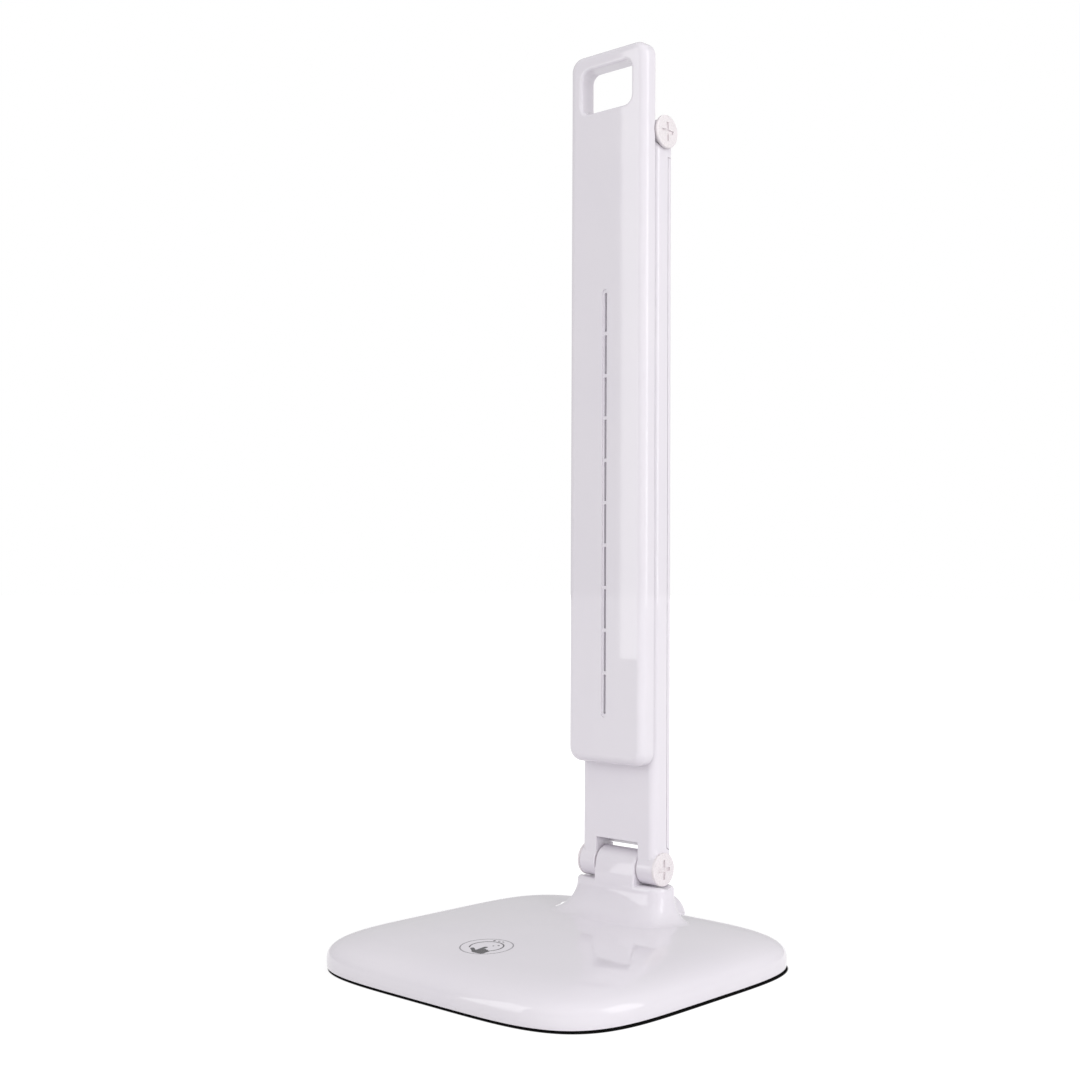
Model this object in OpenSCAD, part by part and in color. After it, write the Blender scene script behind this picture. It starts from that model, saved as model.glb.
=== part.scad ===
// Folding LED desk lamp, shown folded up: a weighted base with a neck, an arm hinged to
// the neck and a long light head hinged to the top of the arm.
// Origin: middle of the base, on the surface it stands on. +Z up, +X right, front is -Y.
// Both hinge axes run along X. All sizes are in millimetres.

/* [Base] */
// Width of the base, side to side
base_w = 170; // [150:1:200]
// Depth of the base, front to back
base_d = 168; // [150:1:200]
// Squareness of the base outline (2 is an ellipse)
base_square = 4.6; // [3:0.1:6]
// Height of the widest line of the base
rim_h = 3.6; // [3.5:0.1:6]
// Width of the rounded edge around the crown
edge_w = 29; // [24:1:32]
// Height of the rounded edge without the crown's rise
edge_h = 13.7; // [13.4:0.1:16]
// Fullness of the rounded edge (2 is an ellipse)
edge_full = 3.2; // [2.6:0.1:3.6]
// Rise of the crown from the base's outline to its middle
crown_rise = 4; // [3:0.1:5]
// Height of the shell's lower edge, which hides the bottom plate
rim_gap = 1.1; // [0.8:0.1:1.6]
// Wall of the base shell
base_wall = 2.4; // [2:0.1:3]
// Thickness of the bottom plate
plate_t = 1.7; // [1.5:0.1:2.5]
// How far the rubber feet stand below the bottom plate
foot_h = 0.3; // [0.3:0.1:1]
// Radius of a rubber foot
foot_r = 6; // [4:0.5:8]

/* [Neck] */
// Distance of both hinge axes from the base's rear edge
hinge_back = 36.6; // [34:0.2:40]
// Height of the lower hinge axis
hinge_z = 39.4; // [39:0.1:42]
// Width of the neck at its shoulders
neck_w = 51.6; // [49:0.1:56]
// Depth of the neck at its shoulders
neck_d = 17.6; // [17:0.2:22]
// Drop from the lower hinge axis to the shoulders beside the knuckle
shoulder_drop = 7.6; // [6.8:0.1:8]
// Radius of the neck's edge around the shoulders
neck_edge_r = 1.8; // [0.8:0.1:2]
// Width of the hollow curve at the foot of the neck, at its sides
root_side = 15; // [10:0.5:18]
// The same at its front
root_front = 17; // [12:0.5:24]
// Radius of the base knuckle
knuckle_r = 7.7; // [7.2:0.1:8.4]

/* [Hinges] */
// Width of each knuckle
knuckle_w = 24; // [20:0.5:26]
// Radius of the round ears on the arm
ear_r = 7.7; // [7:0.1:8]
// Radius of the hinge shafts
shaft_r = 3; // [2.6:0.1:3.2]
// Bore radius of the hollow shafts
shaft_bore_r = 2.2; // [1.8:0.1:2.3]
// Outer radius of the hinge bushes
bush_r = 4.8; // [4.2:0.1:5]
// Length of each hinge bush
bush_len = 8; // [5:0.5:9]
// Thickness of a friction washer
washer_t = 0.5; // [0.3:0.1:0.8]
// Outer radius of a friction washer
washer_r = 6; // [5:0.1:6.1]
// Thickness of a cap screw's head
cap_t = 1.3; // [1.2:0.1:2]
// Thickness of the spacer ring under each upper cap
spacer_t = 1.1; // [0.8:0.1:1.6]
// Width of the cross recess in a cap screw
recess_w = 1.8; // [1:0.1:2.2]

/* [Arm] */
// Width of the arm
arm_w = 44; // [42:0.5:48]
// Thickness of the arm
arm_t = 12.4; // [12:0.1:13.2]
// Distance between the two hinge axes
arm_pitch = 342.5; // [300:0.5:400]
// Radius of the arm's front edges
arm_edge_r = 3.5; // [2:0.1:4]
// Wall of the arm shell
arm_wall = 2; // [1.6:0.1:2.4]
// Thickness of the rear cover
cover_t = 2.9; // [2:0.1:3.2]
// Gap between the lower axis and the top of the arm's window
window_h = 12.1; // [11.5:0.1:14]

/* [Head] */
// Width of the head
head_w = 46; // [44.5:0.5:52]
// Thickness of the head
head_t = 8.8; // [8.6:0.1:11]
// Gap between the folded head and the arm
head_gap = 0.9; // [0.8:0.1:1.5]
// Length of the head below the upper hinge axis
head_down = 294.5; // [240:0.5:300]
// Length of the head above the upper hinge axis
head_up = 40.5; // [40:0.5:50]
// Corner radius of the head's outline
head_corner_r = 8.5; // [8:0.1:12]
// Radius of the head's front edges
head_edge_r = 4; // [2:0.1:5]
// Wall of the head cover
head_wall = 1.8; // [1.6:0.1:2]
// Width of the finger opening
grip_w = 30.4; // [24:0.2:32]
// Height of the finger opening
grip_h = 21; // [16:0.5:21]
// Corner radius of the finger opening
grip_r = 4.5; // [3:0.1:6]
// Plastic left above the finger opening
grip_bar = 5; // [4:0.5:8]

/* [Vents] */
// Number of vent slots
vent_count = 10; // [6:1:14]
// Distance from one vent slot to the next
vent_pitch = 19.8; // [12:0.2:20]
// Width of a vent slot
vent_w = 1.2; // [0.8:0.1:1.6]
// Width of the bridge between two vent slots
vent_bridge = 1.6; // [1:0.1:3]
// Width of the groove that holds the vents
groove_w = 3.2; // [2.4:0.1:4]
// Depth of the groove
groove_t = 0.5; // [0.3:0.1:0.8]
// Distance of the lowest vent above the head's lower end
vent_from = 22.5; // [20:0.5:40]

/* [Light] */
// Width of the frame's border on each side of the light window
light_border = 5.4; // [5:0.2:8]
// Thickness of the opal diffuser
diffuser_t = 1.6; // [1.2:0.1:1.6]
// Thickness of the reflector sheet
reflector_t = 0.3; // [0.2:0.05:0.4]
// Thickness of the heat plate
heat_t = 1; // [0.8:0.1:1]
// Thickness of an LED board
led_board_t = 1; // [0.8:0.1:1.2]
// Number of LEDs on each board
led_count = 24; // [12:1:30]

/* [Inside the base] */
// Width of the ballast
ballast_w = 124; // [100:1:126]
// Space between the touch board and the ballast
ballast_front = 5; // [4:0.5:12]
// Space between the ballast and the lower hinge axis
ballast_rear = 13.4; // [12:0.2:20]
// Thickness of the ballast
ballast_t = 8; // [6:0.2:8]
// Distance of the touch point from the base's front edge
touch_in = 39; // [34:1:46]
// Radius of the round inlet boss
inlet_r = 10.5; // [9.5:0.1:12]
// Bore radius of the DC socket
dc_bore_r = 2.8; // [2.5:0.05:3]
// Radius of the DC socket's centre pin
dc_pin_r = 1; // [0.8:0.05:1.2]

/* [Hidden] */

$fn = 96;
eps = 0.01;

// clearances
run_gap = 0.05;    // shaft in its bush, screw in its hole, bush in its seat
side_gap = 0.1;    // knuckle against its washer
fit = 0.1;         // pieces laid on each other or dropped into a seat
seam = 0.3;        // line between two covers
swing_gap = 0.8;   // round ears over their shoulders
post_gap = 0.2;    // ballast posts in their holes

// heights and places that follow from the sizes above
plate_top = foot_h + plate_t;
hinge_y = base_d / 2 - hinge_back;
shoulder_h = hinge_z - shoulder_drop;
touch_y = base_d / 2 - touch_in;
top_z = hinge_z + arm_pitch;
arm_front = hinge_y - arm_t / 2;
arm_rear = hinge_y + arm_t / 2;
head_rear = arm_front - head_gap;
head_front = head_rear - head_t;
head_low = top_z - head_down;
head_high = top_z + head_up;
head_len = head_down + head_up;
head_mid = (head_low + head_high) / 2;
ear_in = knuckle_w / 2 + side_gap + washer_t;
ear_out = arm_w / 2;
saddle_r = ear_r + swing_gap;
ear_edge_r = 0.5;
window_top = hinge_z + window_h;

// screws
screw_r = 1.4;
screw_head_r = 2.8;
screw_head_t = 1.6;
fine_r = 1;
fine_head_r = 2.2;
fine_head_t = 1.3;

// colours
white = [0.93, 0.92, 0.95];
cream = [0.95, 0.91, 0.92];
black = [0.1, 0.1, 0.11];
steel = [0.62, 0.63, 0.66];
brass = [0.78, 0.62, 0.32];

// ---------- shared shapes ----------

function mix(a, b, u) = a + (b - a) * u;
function power(v, e) = sign(v) * pow(abs(v), e);

// One ring of a loft: a squared-off ellipse [middle y, half width, half depth, squareness, z]
function ring(s, n) = [for (i = [0:n - 1]) let (t = 360 * i / n)
    [s[1] * power(cos(t), 2 / s[3]), s[0] + s[2] * power(sin(t), 2 / s[3]), s[4]]];

// Skin over rings of points that are listed from the lowest to the highest
module loft(rings) {
    last = len(rings) - 1;
    n = len(rings[0]);
    polyhedron(
        points = [for (r = rings) each r],
        faces = concat(
            [[for (i = [0:n - 1]) i]],
            [[for (i = [n - 1:-1:0]) last * n + i]],
            [for (k = [0:last - 1], i = [0:n - 1]) let (j = (i + 1) % n)
                [k * n + i, (k + 1) * n + i, (k + 1) * n + j, k * n + j]]));
}

// Solid whose outline is drawn in the Y-Z plane, between two values of X
module across(x0, x1) {
    translate([x0, 0, 0]) rotate([90, 0, 90]) linear_extrude(x1 - x0) children();
}

// The same on both sides of the middle
module across_both(x0, x1) {
    across(x0, x1) children();
    across(-x1, -x0) children();
}

// Cylinder along X at a hinge, between two values of X
module pivot(z, r, x0, x1) {
    translate([x0, hinge_y, z]) rotate([0, 90, 0]) cylinder(r = r, h = x1 - x0);
}

module pivot_both(z, r, x0, x1) {
    pivot(z, r, x0, x1);
    pivot(z, r, -x1, -x0);
}

// The same with rounded edges at both ends
module soft_pivot(z, r, x0, x1, edge) {
    translate([x0, hinge_y, z]) rotate([0, 90, 0]) rotate_extrude() {
        translate([0, (x1 - x0) / 2]) edge_profile(r, 0, (x1 - x0) / 2, edge);
        translate([0, (x1 - x0) / 2]) mirror([0, 1]) edge_profile(r, 0, (x1 - x0) / 2, edge);
    }
}

// Cylinder along Y, between two values of Y
module rod_y(x, z, r, y0, y1, r1 = undef) {
    translate([x, y1, z]) rotate([90, 0, 0])
        cylinder(r1 = is_undef(r1) ? r : r1, r2 = r, h = y1 - y0);
}

module upright_rod(x, y, r, z0, z1) {
    translate([x, y, z0]) cylinder(r = r, h = z1 - z0);
}

// The head is drawn lying down, with z counting from its rear face forwards
module in_head() {
    translate([0, head_rear, head_mid]) rotate([90, 0, 0]) children();
}

module rounded(w, l, r) {
    square([w - 2 * r, l], center = true);
    square([w, l - 2 * r], center = true);
    for (x = [-1, 1], y = [-1, 1])
        translate([x * (w / 2 - r), y * (l / 2 - r)]) circle(r);
}

// Sweeps a profile round a rounded rectangle; its x counts from the corner's middle outwards
module swept_round(w, l, r) {
    for (a = [0, 180]) rotate(a) {
        translate([w / 2 - r, l / 2 - r, 0]) rotate([90, 0, 0])
            linear_extrude(l - 2 * r) children();
        translate([w / 2 - r, l / 2 - r, 0]) rotate_extrude(angle = 90) children();
        translate([-w / 2 + r, l / 2 - r, 0]) rotate([90, 0, 90])
            linear_extrude(w - 2 * r) children();
        translate([-w / 2 + r, l / 2 - r, 0]) rotate(90) rotate_extrude(angle = 90) children();
    }
}

// Quarter section of a slab: flat top at y1, outer wall at x1, the corner between them rounded
module edge_profile(x1, y0, y1, r) {
    translate([0, y0]) square([x1 - r, y1 - y0]);
    translate([0, y0]) square([x1, y1 - y0 - r]);
    translate([x1 - r, y1 - r]) intersection() {
        circle(r);
        square(2 * r);
    }
}

function unit(v) = v / norm(v);

// Cuts each inner corner of a route, so that the lead bends in two steps
function softened(p, cut) = [for (i = [0:len(p) - 1])
    each (i == 0 || i == len(p) - 1) ? [p[i]]
        : [p[i] - cut * unit(p[i] - p[i - 1]), p[i] + cut * unit(p[i + 1] - p[i])]];

// Round lead through a list of corners that lie in one plane, as one skin with a ring at
// each bend; flat is the plane's normal
module lead(corners, r, flat) {
    sides = 12;
    route = softened(corners, 2);
    last = len(route) - 1;
    points = [for (k = [0:last])
        let (t = unit((k > 0 ? unit(route[k] - route[k - 1]) : [0, 0, 0])
                      + (k < last ? unit(route[k + 1] - route[k]) : [0, 0, 0])),
             side = cross(t, flat))
        each [for (i = [0:sides - 1])
            route[k] + r * cos(360 * i / sides) * flat + r * sin(360 * i / sides) * side]];
    polyhedron(points = points, faces = concat(
        [[for (i = [0:sides - 1]) i]],
        [[for (i = [sides - 1:-1:0]) last * sides + i]],
        [for (k = [0:last - 1], i = [0:sides - 1])
            let (j = (i + 1) % sides, low = k * sides, high = low + sides)
            each [[low + i, high + i, high + j], [low + i, high + j, low + j]]]));
}

// Screw with a flat head below and its shank up, head underside at the origin
module screw(r, len, head_r, head_t) {
    cylinder(r = r, h = len, $fn = 32);
    difference() {
        translate([0, 0, -head_t]) cylinder(r = head_r, h = head_t, $fn = 48);
        translate([0, 0, -head_t]) cross_recess(head_r * 1.1, head_r * 0.28, head_t * 0.6);
    }
}

module cross_recess(len, w, depth) {
    for (a = [0, 90]) rotate(a)
        translate([-len / 2, -w / 2, -depth]) cube([len, w, 2 * depth]);
}

// ---------- base ----------

neck_steps = 13;
edge_steps = 7;
rim_in = 0.1;
edge_reach = edge_w - 5;      // the edge's own rings end here, free of the neck's back
edge_turn = acos(pow(1 - edge_reach / edge_w, edge_full / 2));
neck_top = shoulder_h - neck_edge_r;
root_rear = base_d / 2 - edge_reach - hinge_y - neck_d / 2;

// Height of the domed base at a distance inside its outline
function dome_z(in) = rim_h + crown_rise * (1 - pow(1 - in / (base_d / 2), 2))
    + (edge_h - rim_h) * (in >= edge_w ? 1
        : pow(1 - pow(1 - max(0, in) / edge_w, edge_full), 1 / edge_full));

// Distance of a place inside the base's outline
function outside(x, y, in) = pow(abs(x) / (base_w / 2 - in), base_square)
    + pow(abs(y) / (base_d / 2 - in), base_square) > 1;
function inside(x, y, low = 0, high = base_d / 2, k = 14) = let (m = (low + high) / 2)
    k == 0 ? m : outside(x, y, m) ? inside(x, y, low, m, k - 1) : inside(x, y, m, high, k - 1);

function edge_ring(a, off, n) = let (in = edge_w * (1 - pow(cos(a), 2 / edge_full)))
    ring([0, base_w / 2 - in - off, base_d / 2 - in - off, base_square, dome_z(in) - off], n);

// Ring of the crown from the rounded edge (u = 0) to the neck's edge (u = 1): it lies on the
// dome, and curves up to the neck near its foot
function crown_ring(u, off, n) = [for (i = [0:n - 1]) let (
    t = 360 * i / n,
    out = [(base_w / 2 - edge_reach - off) * power(cos(t), 2 / base_square),
           (base_d / 2 - edge_reach - off) * power(sin(t), 2 / base_square)],
    neck = [(neck_w / 2 - off) * power(cos(t), 0.5),
            hinge_y + (neck_d / 2 - off) * power(sin(t), 0.5)],
    p = mix(out, neck, u),
    root = norm([root_side * cos(t), (sin(t) < 0 ? root_front : root_rear) * sin(t)]),
    away = min(1, (1 - u) * norm(out - neck) / root),
    dome = dome_z(inside(p[0], p[1]) - off))
    [p[0], p[1], mix(dome, neck_top, 1 - sqrt(1 - pow(1 - away, 2))) - off]];

function neck_edge_ring(a, off, n) = let (in = neck_edge_r * (1 - cos(a)) + off)
    ring([hinge_y, neck_w / 2 - in, neck_d / 2 - in, 4, neck_top + neck_edge_r * sin(a) - off], n);

// Rings of the shell's skin, or of the hollow inside it when off is the wall
function shell_rings(low_z, off, n) = concat(
    [ring([0, base_w / 2 - rim_in - off, base_d / 2 - rim_in - off, base_square, low_z], n)],
    [for (k = [off > 0 ? 1 : 0:edge_steps]) edge_ring(edge_turn * k / edge_steps, off, n)],
    [for (k = [1:neck_steps]) crown_ring(1 - pow(1 - k / neck_steps, 2), off, n)],
    [for (a = [22.5:22.5:90]) neck_edge_ring(a, off, n)]);

// The knuckle's column, counted from the hinge axis; its flanks end as tangents of the knuckle
column_half = neck_d / 2 + 0.03;
column_top = shoulder_drop + neck_edge_r;
column_low = shoulder_drop + 8;
column_lean = acos(knuckle_r / norm([column_half, column_top])) - atan2(column_top, column_half);

post_in = [25, 29];           // distance of the screw posts from the base's sides and ends
post_at = [base_w / 2 - post_in[0], base_d / 2 - post_in[1]];
post_r = 4;
post_top = dome_z(inside(post_at[0], post_at[1])) - base_wall + 0.4;
post_low = plate_top + 2.2;
post_cap = 1.5;               // plastic above a screw hole
inlet_sink = 0.8;             // how far the boss's round dips under the bottom plate
inlet_z = foot_h + inlet_r - inlet_sink;
inlet_in = 3;                 // distance of the boss's end from the base's rear edge
inlet_end = base_d / 2 - inlet_in;
inlet_wall = 2.2;
socket_w = 9;
socket_h = 11;
socket_len = 14;
socket_depth = 10;            // how far the centre pin reaches into the socket
socket_nose_r = 4;
board_x = 14;                 // x of the two board posts
board_post_r = 2.8;
board_t = 1.6;
board_top = 8;
board_w = 40;
board_d = 28;
touch_under = dome_z(touch_in) - base_wall;
lead_r = 1.3;
lead_way_r = 2.1;

module base_posts() {
    for (x = [-1, 1], y = [-1, 1])
        upright_rod(x * post_at[0], y * post_at[1], post_r, post_low, post_top);
    for (x = [-1, 1])
        upright_rod(x * board_x, -touch_y, board_post_r, board_top, touch_under + base_wall / 2);
}

module base_shell() color(white) difference() {
    union() {
        difference() {
            union() {
                loft(shell_rings(rim_gap, 0, 72));
                intersection() {
                    rod_y(0, inlet_z, inlet_r, hinge_y, inlet_end);
                    translate([-inlet_r, hinge_y, rim_gap])
                        cube([2 * inlet_r, inlet_end - hinge_y, 2 * inlet_r]);
                }
            }
            loft(shell_rings(rim_gap - 1, base_wall, 48));
            rod_y(0, inlet_z, inlet_r - inlet_wall, hinge_y, inlet_end - inlet_wall);
            translate([-inlet_r + inlet_wall, hinge_y, rim_gap - 1])
                cube([2 * (inlet_r - inlet_wall), inlet_end - inlet_wall - hinge_y,
                      inlet_z - rim_gap + 1]);
        }
        // knuckle, whose column runs straight up from the neck's front and back
        across(-knuckle_w / 2, knuckle_w / 2) translate([hinge_y, hinge_z]) {
            circle(knuckle_r);
            polygon([[-column_half, -column_low], [column_half, -column_low],
                     [column_half, -column_top],
                     [knuckle_r * cos(column_lean), knuckle_r * sin(column_lean)],
                     [-knuckle_r * cos(column_lean), knuckle_r * sin(column_lean)],
                     [-column_half, -column_top]]);
        }
        base_posts();
    }
    // dished shoulders under the ears
    pivot_both(hinge_z, saddle_r, knuckle_w / 2, neck_w / 2 + 5);
    // seats of the bushes, and the way of the lead
    pivot(hinge_z, bush_r + run_gap, -knuckle_w, knuckle_w);
    upright_rod(0, hinge_y, lead_way_r, shoulder_h - 12, hinge_z);
    rod_y(0, inlet_z, socket_nose_r + fit, inlet_end - inlet_wall - 1, inlet_end + 1);
    for (x = [-1, 1], y = [-1, 1])
        upright_rod(x * post_at[0], y * post_at[1], screw_r + run_gap, 0, post_top - post_cap);
    for (x = [-1, 1])
        upright_rod(x * board_x, -touch_y, fine_r + run_gap, 0, touch_under);
}

plate_seat = foot_h + screw_head_t + 0.7;     // height of the bottom screws' head seats
ballast_from = -touch_y + board_d / 2 + ballast_front;
ballast_d = hinge_y - ballast_rear - ballast_from;
ballast_mid = ballast_from + ballast_d / 2;
ballast_post = [ballast_w / 2 - 14, ballast_d / 2 - 8, 3];    // x, y and radius of its posts
ballast_screw_r = 4.4;
plate_gap = 0.4;              // round the plate, inside the shell's wall
lip_gap = 0.7;                // round the lip that stiffens the plate
lip_t = 1.6;
lip_h = 1.2;
foot_in = [39, 17];            // distance of the feet from the base's sides and ends
foot_at = [base_w / 2 - foot_in[0], base_d / 2 - foot_in[1]];
foot_sink = 0.8;
ballast_r = 6;

function base_outline(off, n) = [for (p = ring([0, base_w / 2 - off, base_d / 2 - off,
                                                base_square, 0], n)) [p[0], p[1]]];

module base_plate() color(black) difference() {
    union() {
        translate([0, 0, foot_h]) linear_extrude(plate_t)
            polygon(base_outline(rim_in + base_wall + plate_gap, 48));
        // lip that stiffens the plate's edge
        translate([0, 0, plate_top]) linear_extrude(lip_h) difference() {
            polygon(base_outline(rim_in + base_wall + lip_gap, 48));
            polygon(base_outline(rim_in + base_wall + lip_gap + lip_t, 48));
        }
        for (x = [-1, 1], y = [-1, 1]) {
            upright_rod(x * post_at[0], y * post_at[1], post_r + 1, foot_h, post_low);
            upright_rod(x * ballast_post[0], ballast_mid + y * ballast_post[1], ballast_post[2],
                        foot_h, plate_top + ballast_t - 2 * fit);
        }
    }
    for (x = [-1, 1], y = [-1, 1]) {
        upright_rod(x * post_at[0], y * post_at[1], screw_head_r + 2 * fit, -1, plate_seat);
        upright_rod(x * post_at[0], y * post_at[1], screw_r + 2 * fit, -1, post_top);
        upright_rod(x * foot_at[0], y * foot_at[1], foot_r + fit, -1, foot_h + foot_sink);
        upright_rod(x * ballast_post[0], ballast_mid + y * ballast_post[1], screw_r + run_gap,
                    plate_top, plate_top + ballast_t + 1);
    }
}

module base_feet() color([0.16, 0.16, 0.17])
    for (x = [-1, 1], y = [-1, 1])
        upright_rod(x * foot_at[0], y * foot_at[1], foot_r, 0, foot_h + foot_sink);

module base_screws() color(steel)
    for (x = [-1, 1], y = [-1, 1])
        translate([x * post_at[0], y * post_at[1], plate_seat])
            screw(screw_r, post_top - post_cap - 1 - plate_seat, screw_head_r, screw_head_t);

module ballast() color([0.25, 0.26, 0.28]) translate([0, ballast_mid, plate_top])
    linear_extrude(ballast_t) difference() {
        rounded(ballast_w, ballast_d, ballast_r);
        for (x = [-1, 1], y = [-1, 1])
            translate([x * ballast_post[0], y * ballast_post[1]])
                circle(ballast_post[2] + post_gap);
    }

module ballast_screws() color(steel)
    for (x = [-1, 1], y = [-1, 1])
        translate([x * ballast_post[0], ballast_mid + y * ballast_post[1],
                   plate_top + ballast_t]) mirror([0, 0, 1])
            screw(screw_r, ballast_t - 1, ballast_screw_r, 1.3);

module touch_board() color([0.1, 0.35, 0.2])
    translate([0, -touch_y, board_top - board_t]) linear_extrude(board_t) difference() {
        square([board_w, board_d], center = true);
        for (x = [-1, 1]) translate([x * board_x, 0]) circle(fine_r + fit);
    }

chip = [7, 6, 1.5];           // controller, and the driver beside it
driver = [5, 4, 1.5];
coil = [3.5, 3.6];            // radius and height of the inductor
can = [2.2, 3.8];             // radius and height of the capacitor
terminal = [10, 7, 3.8];
board_rim = 2;                // bare strip round the board's edge

module board_parts() color([0.15, 0.15, 0.17])
    translate([0, -touch_y, board_top]) {
        translate([-board_w / 2 + board_rim, -board_d / 2 + board_rim, 0]) cube(chip);
        translate([board_w / 2 - 4 * board_rim - driver[0], -board_d / 2 + board_rim, 0])
            cube(driver);
        translate([-board_w / 4, board_d / 2 - board_rim - coil[0], 0])
            cylinder(r = coil[0], h = coil[1]);
        translate([0, board_d / 2 - board_rim - can[0], 0]) cylinder(r = can[0], h = can[1]);
        translate([board_w / 2 - board_rim - terminal[0], board_d / 2 - terminal[1], 0])
            cube(terminal);
    }

module board_screws() color(steel)
    for (x = [-1, 1])
        translate([x * board_x, -touch_y, board_top - board_t])
            screw(fine_r, board_t + 3, fine_head_r, fine_head_t);

spring_r = 4;
spring_wire_r = 0.3;
spring_turns = 4;
spring_gap = 0.4;             // below the sloping crown

// Coil from the board to the underside of the crown
module touch_spring() color([0.8, 0.5, 0.32]) {
    sides = 6;
    per_turn = 14;
    count = spring_turns * per_turn;
    rise = touch_under - board_top - 2 * spring_wire_r - fit - spring_gap;
    points = [for (k = [0:count], i = [0:sides - 1])
        let (a = 360 * k / per_turn, b = 360 * i / sides,
             r = spring_r + spring_wire_r * cos(b))
        [r * cos(a), r * sin(a) - touch_y,
         board_top + fit + spring_wire_r + rise * k / count + spring_wire_r * sin(b)]];
    faces = concat(
        [[for (i = [sides - 1:-1:0]) i]],
        [[for (i = [0:sides - 1]) count * sides + i]],
        [for (k = [0:count - 1], i = [0:sides - 1]) let (j = (i + 1) % sides)
            [k * sides + i, k * sides + j, (k + 1) * sides + j, (k + 1) * sides + i]]);
    polyhedron(points = points, faces = faces);
}

socket_front = inlet_end - inlet_wall;

module dc_socket() color(black) difference() {
    union() {
        translate([-socket_w / 2, socket_front - socket_len, inlet_z - socket_h / 2])
            cube([socket_w, socket_len, socket_h]);
        rod_y(0, inlet_z, socket_nose_r, socket_front - 1, inlet_end - 0.3);
    }
    rod_y(0, inlet_z, dc_bore_r, socket_front - socket_depth + 2, inlet_end);
    rod_y(0, inlet_z, dc_pin_r, socket_front - socket_depth, inlet_end);
}

module dc_pin() color(steel)
    rod_y(0, inlet_z, dc_pin_r, socket_front - socket_depth, inlet_end - 1);

module base_lead() color(black) {
    run_z = plate_top + lead_r + 4;
    start = socket_front - socket_len;
    side = ballast_w / 2 + 3;
    lead([[0, start, run_z], [0, hinge_y, run_z], [0, hinge_y, hinge_z - shaft_r - 1]],
         lead_r, [1, 0, 0]);
    lead([[3, start, run_z], [3, hinge_y - 4, run_z], [side, hinge_y - 9, run_z],
          [side, board_d / 2 - touch_y, run_z],
          [board_w / 2 + 0.3, board_d / 2 - touch_y - 4, run_z]],
         lead_r, [0, 0, 1]);
}

module bushes(z) color(brass) for (m = [0, 1]) mirror([m, 0, 0]) difference() {
    pivot(z, bush_r, knuckle_w / 2 - bush_len, knuckle_w / 2);
    pivot(z, shaft_r + run_gap, knuckle_w / 2 - bush_len - 1, knuckle_w / 2 + 1);
}

module lower_bushes() bushes(hinge_z);

// ---------- hinge hardware ----------

stem_r = shaft_bore_r - run_gap;
stem_len = 2.6;
cap_edge_r = 0.6;
recess_t = cap_t - 0.4;
way_x = (ear_in + ear_out) / 2;     // where a lead leaves the shaft

// Hollow shaft, open downwards in the middle and towards way_dir over one ear
module shaft(z, in_dir, out_dir) color(steel) difference() {
    pivot(z, shaft_r, -ear_out + fit, ear_out - fit);
    pivot(z, shaft_bore_r, -ear_out - 1, ear_out + 1);
    translate([0, hinge_y, z]) rotate([in_dir, 0, 0]) cylinder(r = 1.6, h = 10);
    translate([way_x, hinge_y, z]) rotate([out_dir, 0, 0]) cylinder(r = 1.6, h = 10);
}

module washers(z) color(brass) for (m = [0, 1]) mirror([m, 0, 0]) difference() {
    pivot(z, washer_r, ear_in - washer_t, ear_in);
    pivot(z, shaft_r + run_gap, ear_in - washer_t - 1, ear_in + 1);
}

// Round plastic cap screws: a stem in the shaft's end and a flat head with a cross recess;
// from is the head's underside
module caps(z, from) color(cream) for (m = [0, 1]) mirror([m, 0, 0]) difference() {
    union() {
        pivot(z, stem_r, ear_out - stem_len, from + cap_t / 2);
        translate([from, hinge_y, z]) rotate([0, 90, 0]) rotate_extrude()
            edge_profile(ear_r, 0, cap_t, cap_edge_r);
    }
    for (a = [0, 90])
        translate([from + cap_t, hinge_y, z]) rotate([a, 0, 0])
            cube([2 * recess_t, recess_w, ear_r * 1.15], center = true);
}

module lower_shaft() shaft(hinge_z, 180, 0);
module lower_washers() washers(hinge_z);
module lower_caps() caps(hinge_z, ear_out);
module upper_shaft() shaft(top_z, 180, 90);
module upper_washers() washers(top_z);
module upper_spacers() color(cream) for (m = [0, 1]) mirror([m, 0, 0]) difference() {
    soft_pivot(top_z, spacer_r, ear_out, ear_out + spacer_t, 0.3);
    pivot(top_z, stem_r + run_gap, ear_out - 1, ear_out + spacer_t + 1);
}
module upper_caps() caps(top_z, ear_out + spacer_t);

// ---------- arm ----------

cover_from = [9.4, 11];       // distance of the rear cover's ends from the hinge axes
cover_low = hinge_z + cover_from[0];
cover_high = top_z - cover_from[1];
bridge_t = [3.4, 3];          // solid plastic below and above the arm's hollow
arm_hollow = [window_top + bridge_t[0], cover_high - bridge_t[1]];
arm_post = [9, 12];           // x of the cover's posts, and their distance from the hollow's ends
arm_post_r = 2.6;
arm_screw_len = arm_t - arm_wall - fine_head_t - 2;
back_r = 1;                   // radius of the arm's rear edges
rib_t = 1.2;                  // ribs that locate the rear cover
rib_h = 1.6;
rib_short = 4;                // their ends stop this far from the hollow's ends
arm_top_r = arm_t / 2;

module arm_section() {
    translate([0, hinge_y]) {
        translate([-arm_w / 2, -arm_t / 2 + arm_edge_r])
            square([arm_w, arm_t - arm_edge_r - back_r]);
        translate([-arm_w / 2 + arm_edge_r, -arm_t / 2]) square([arm_w - 2 * arm_edge_r, arm_t]);
        translate([-arm_w / 2 + back_r, 0]) square([arm_w - 2 * back_r, arm_t / 2]);
        for (x = [-1, 1]) {
            translate([x * (arm_w / 2 - arm_edge_r), -arm_t / 2 + arm_edge_r]) circle(arm_edge_r);
            translate([x * (arm_w / 2 - back_r), arm_t / 2 - back_r]) circle(back_r);
        }
    }
}

module arm_body(z0, z1) {
    translate([0, 0, z0]) linear_extrude(z1 - z0) arm_section();
}

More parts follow.
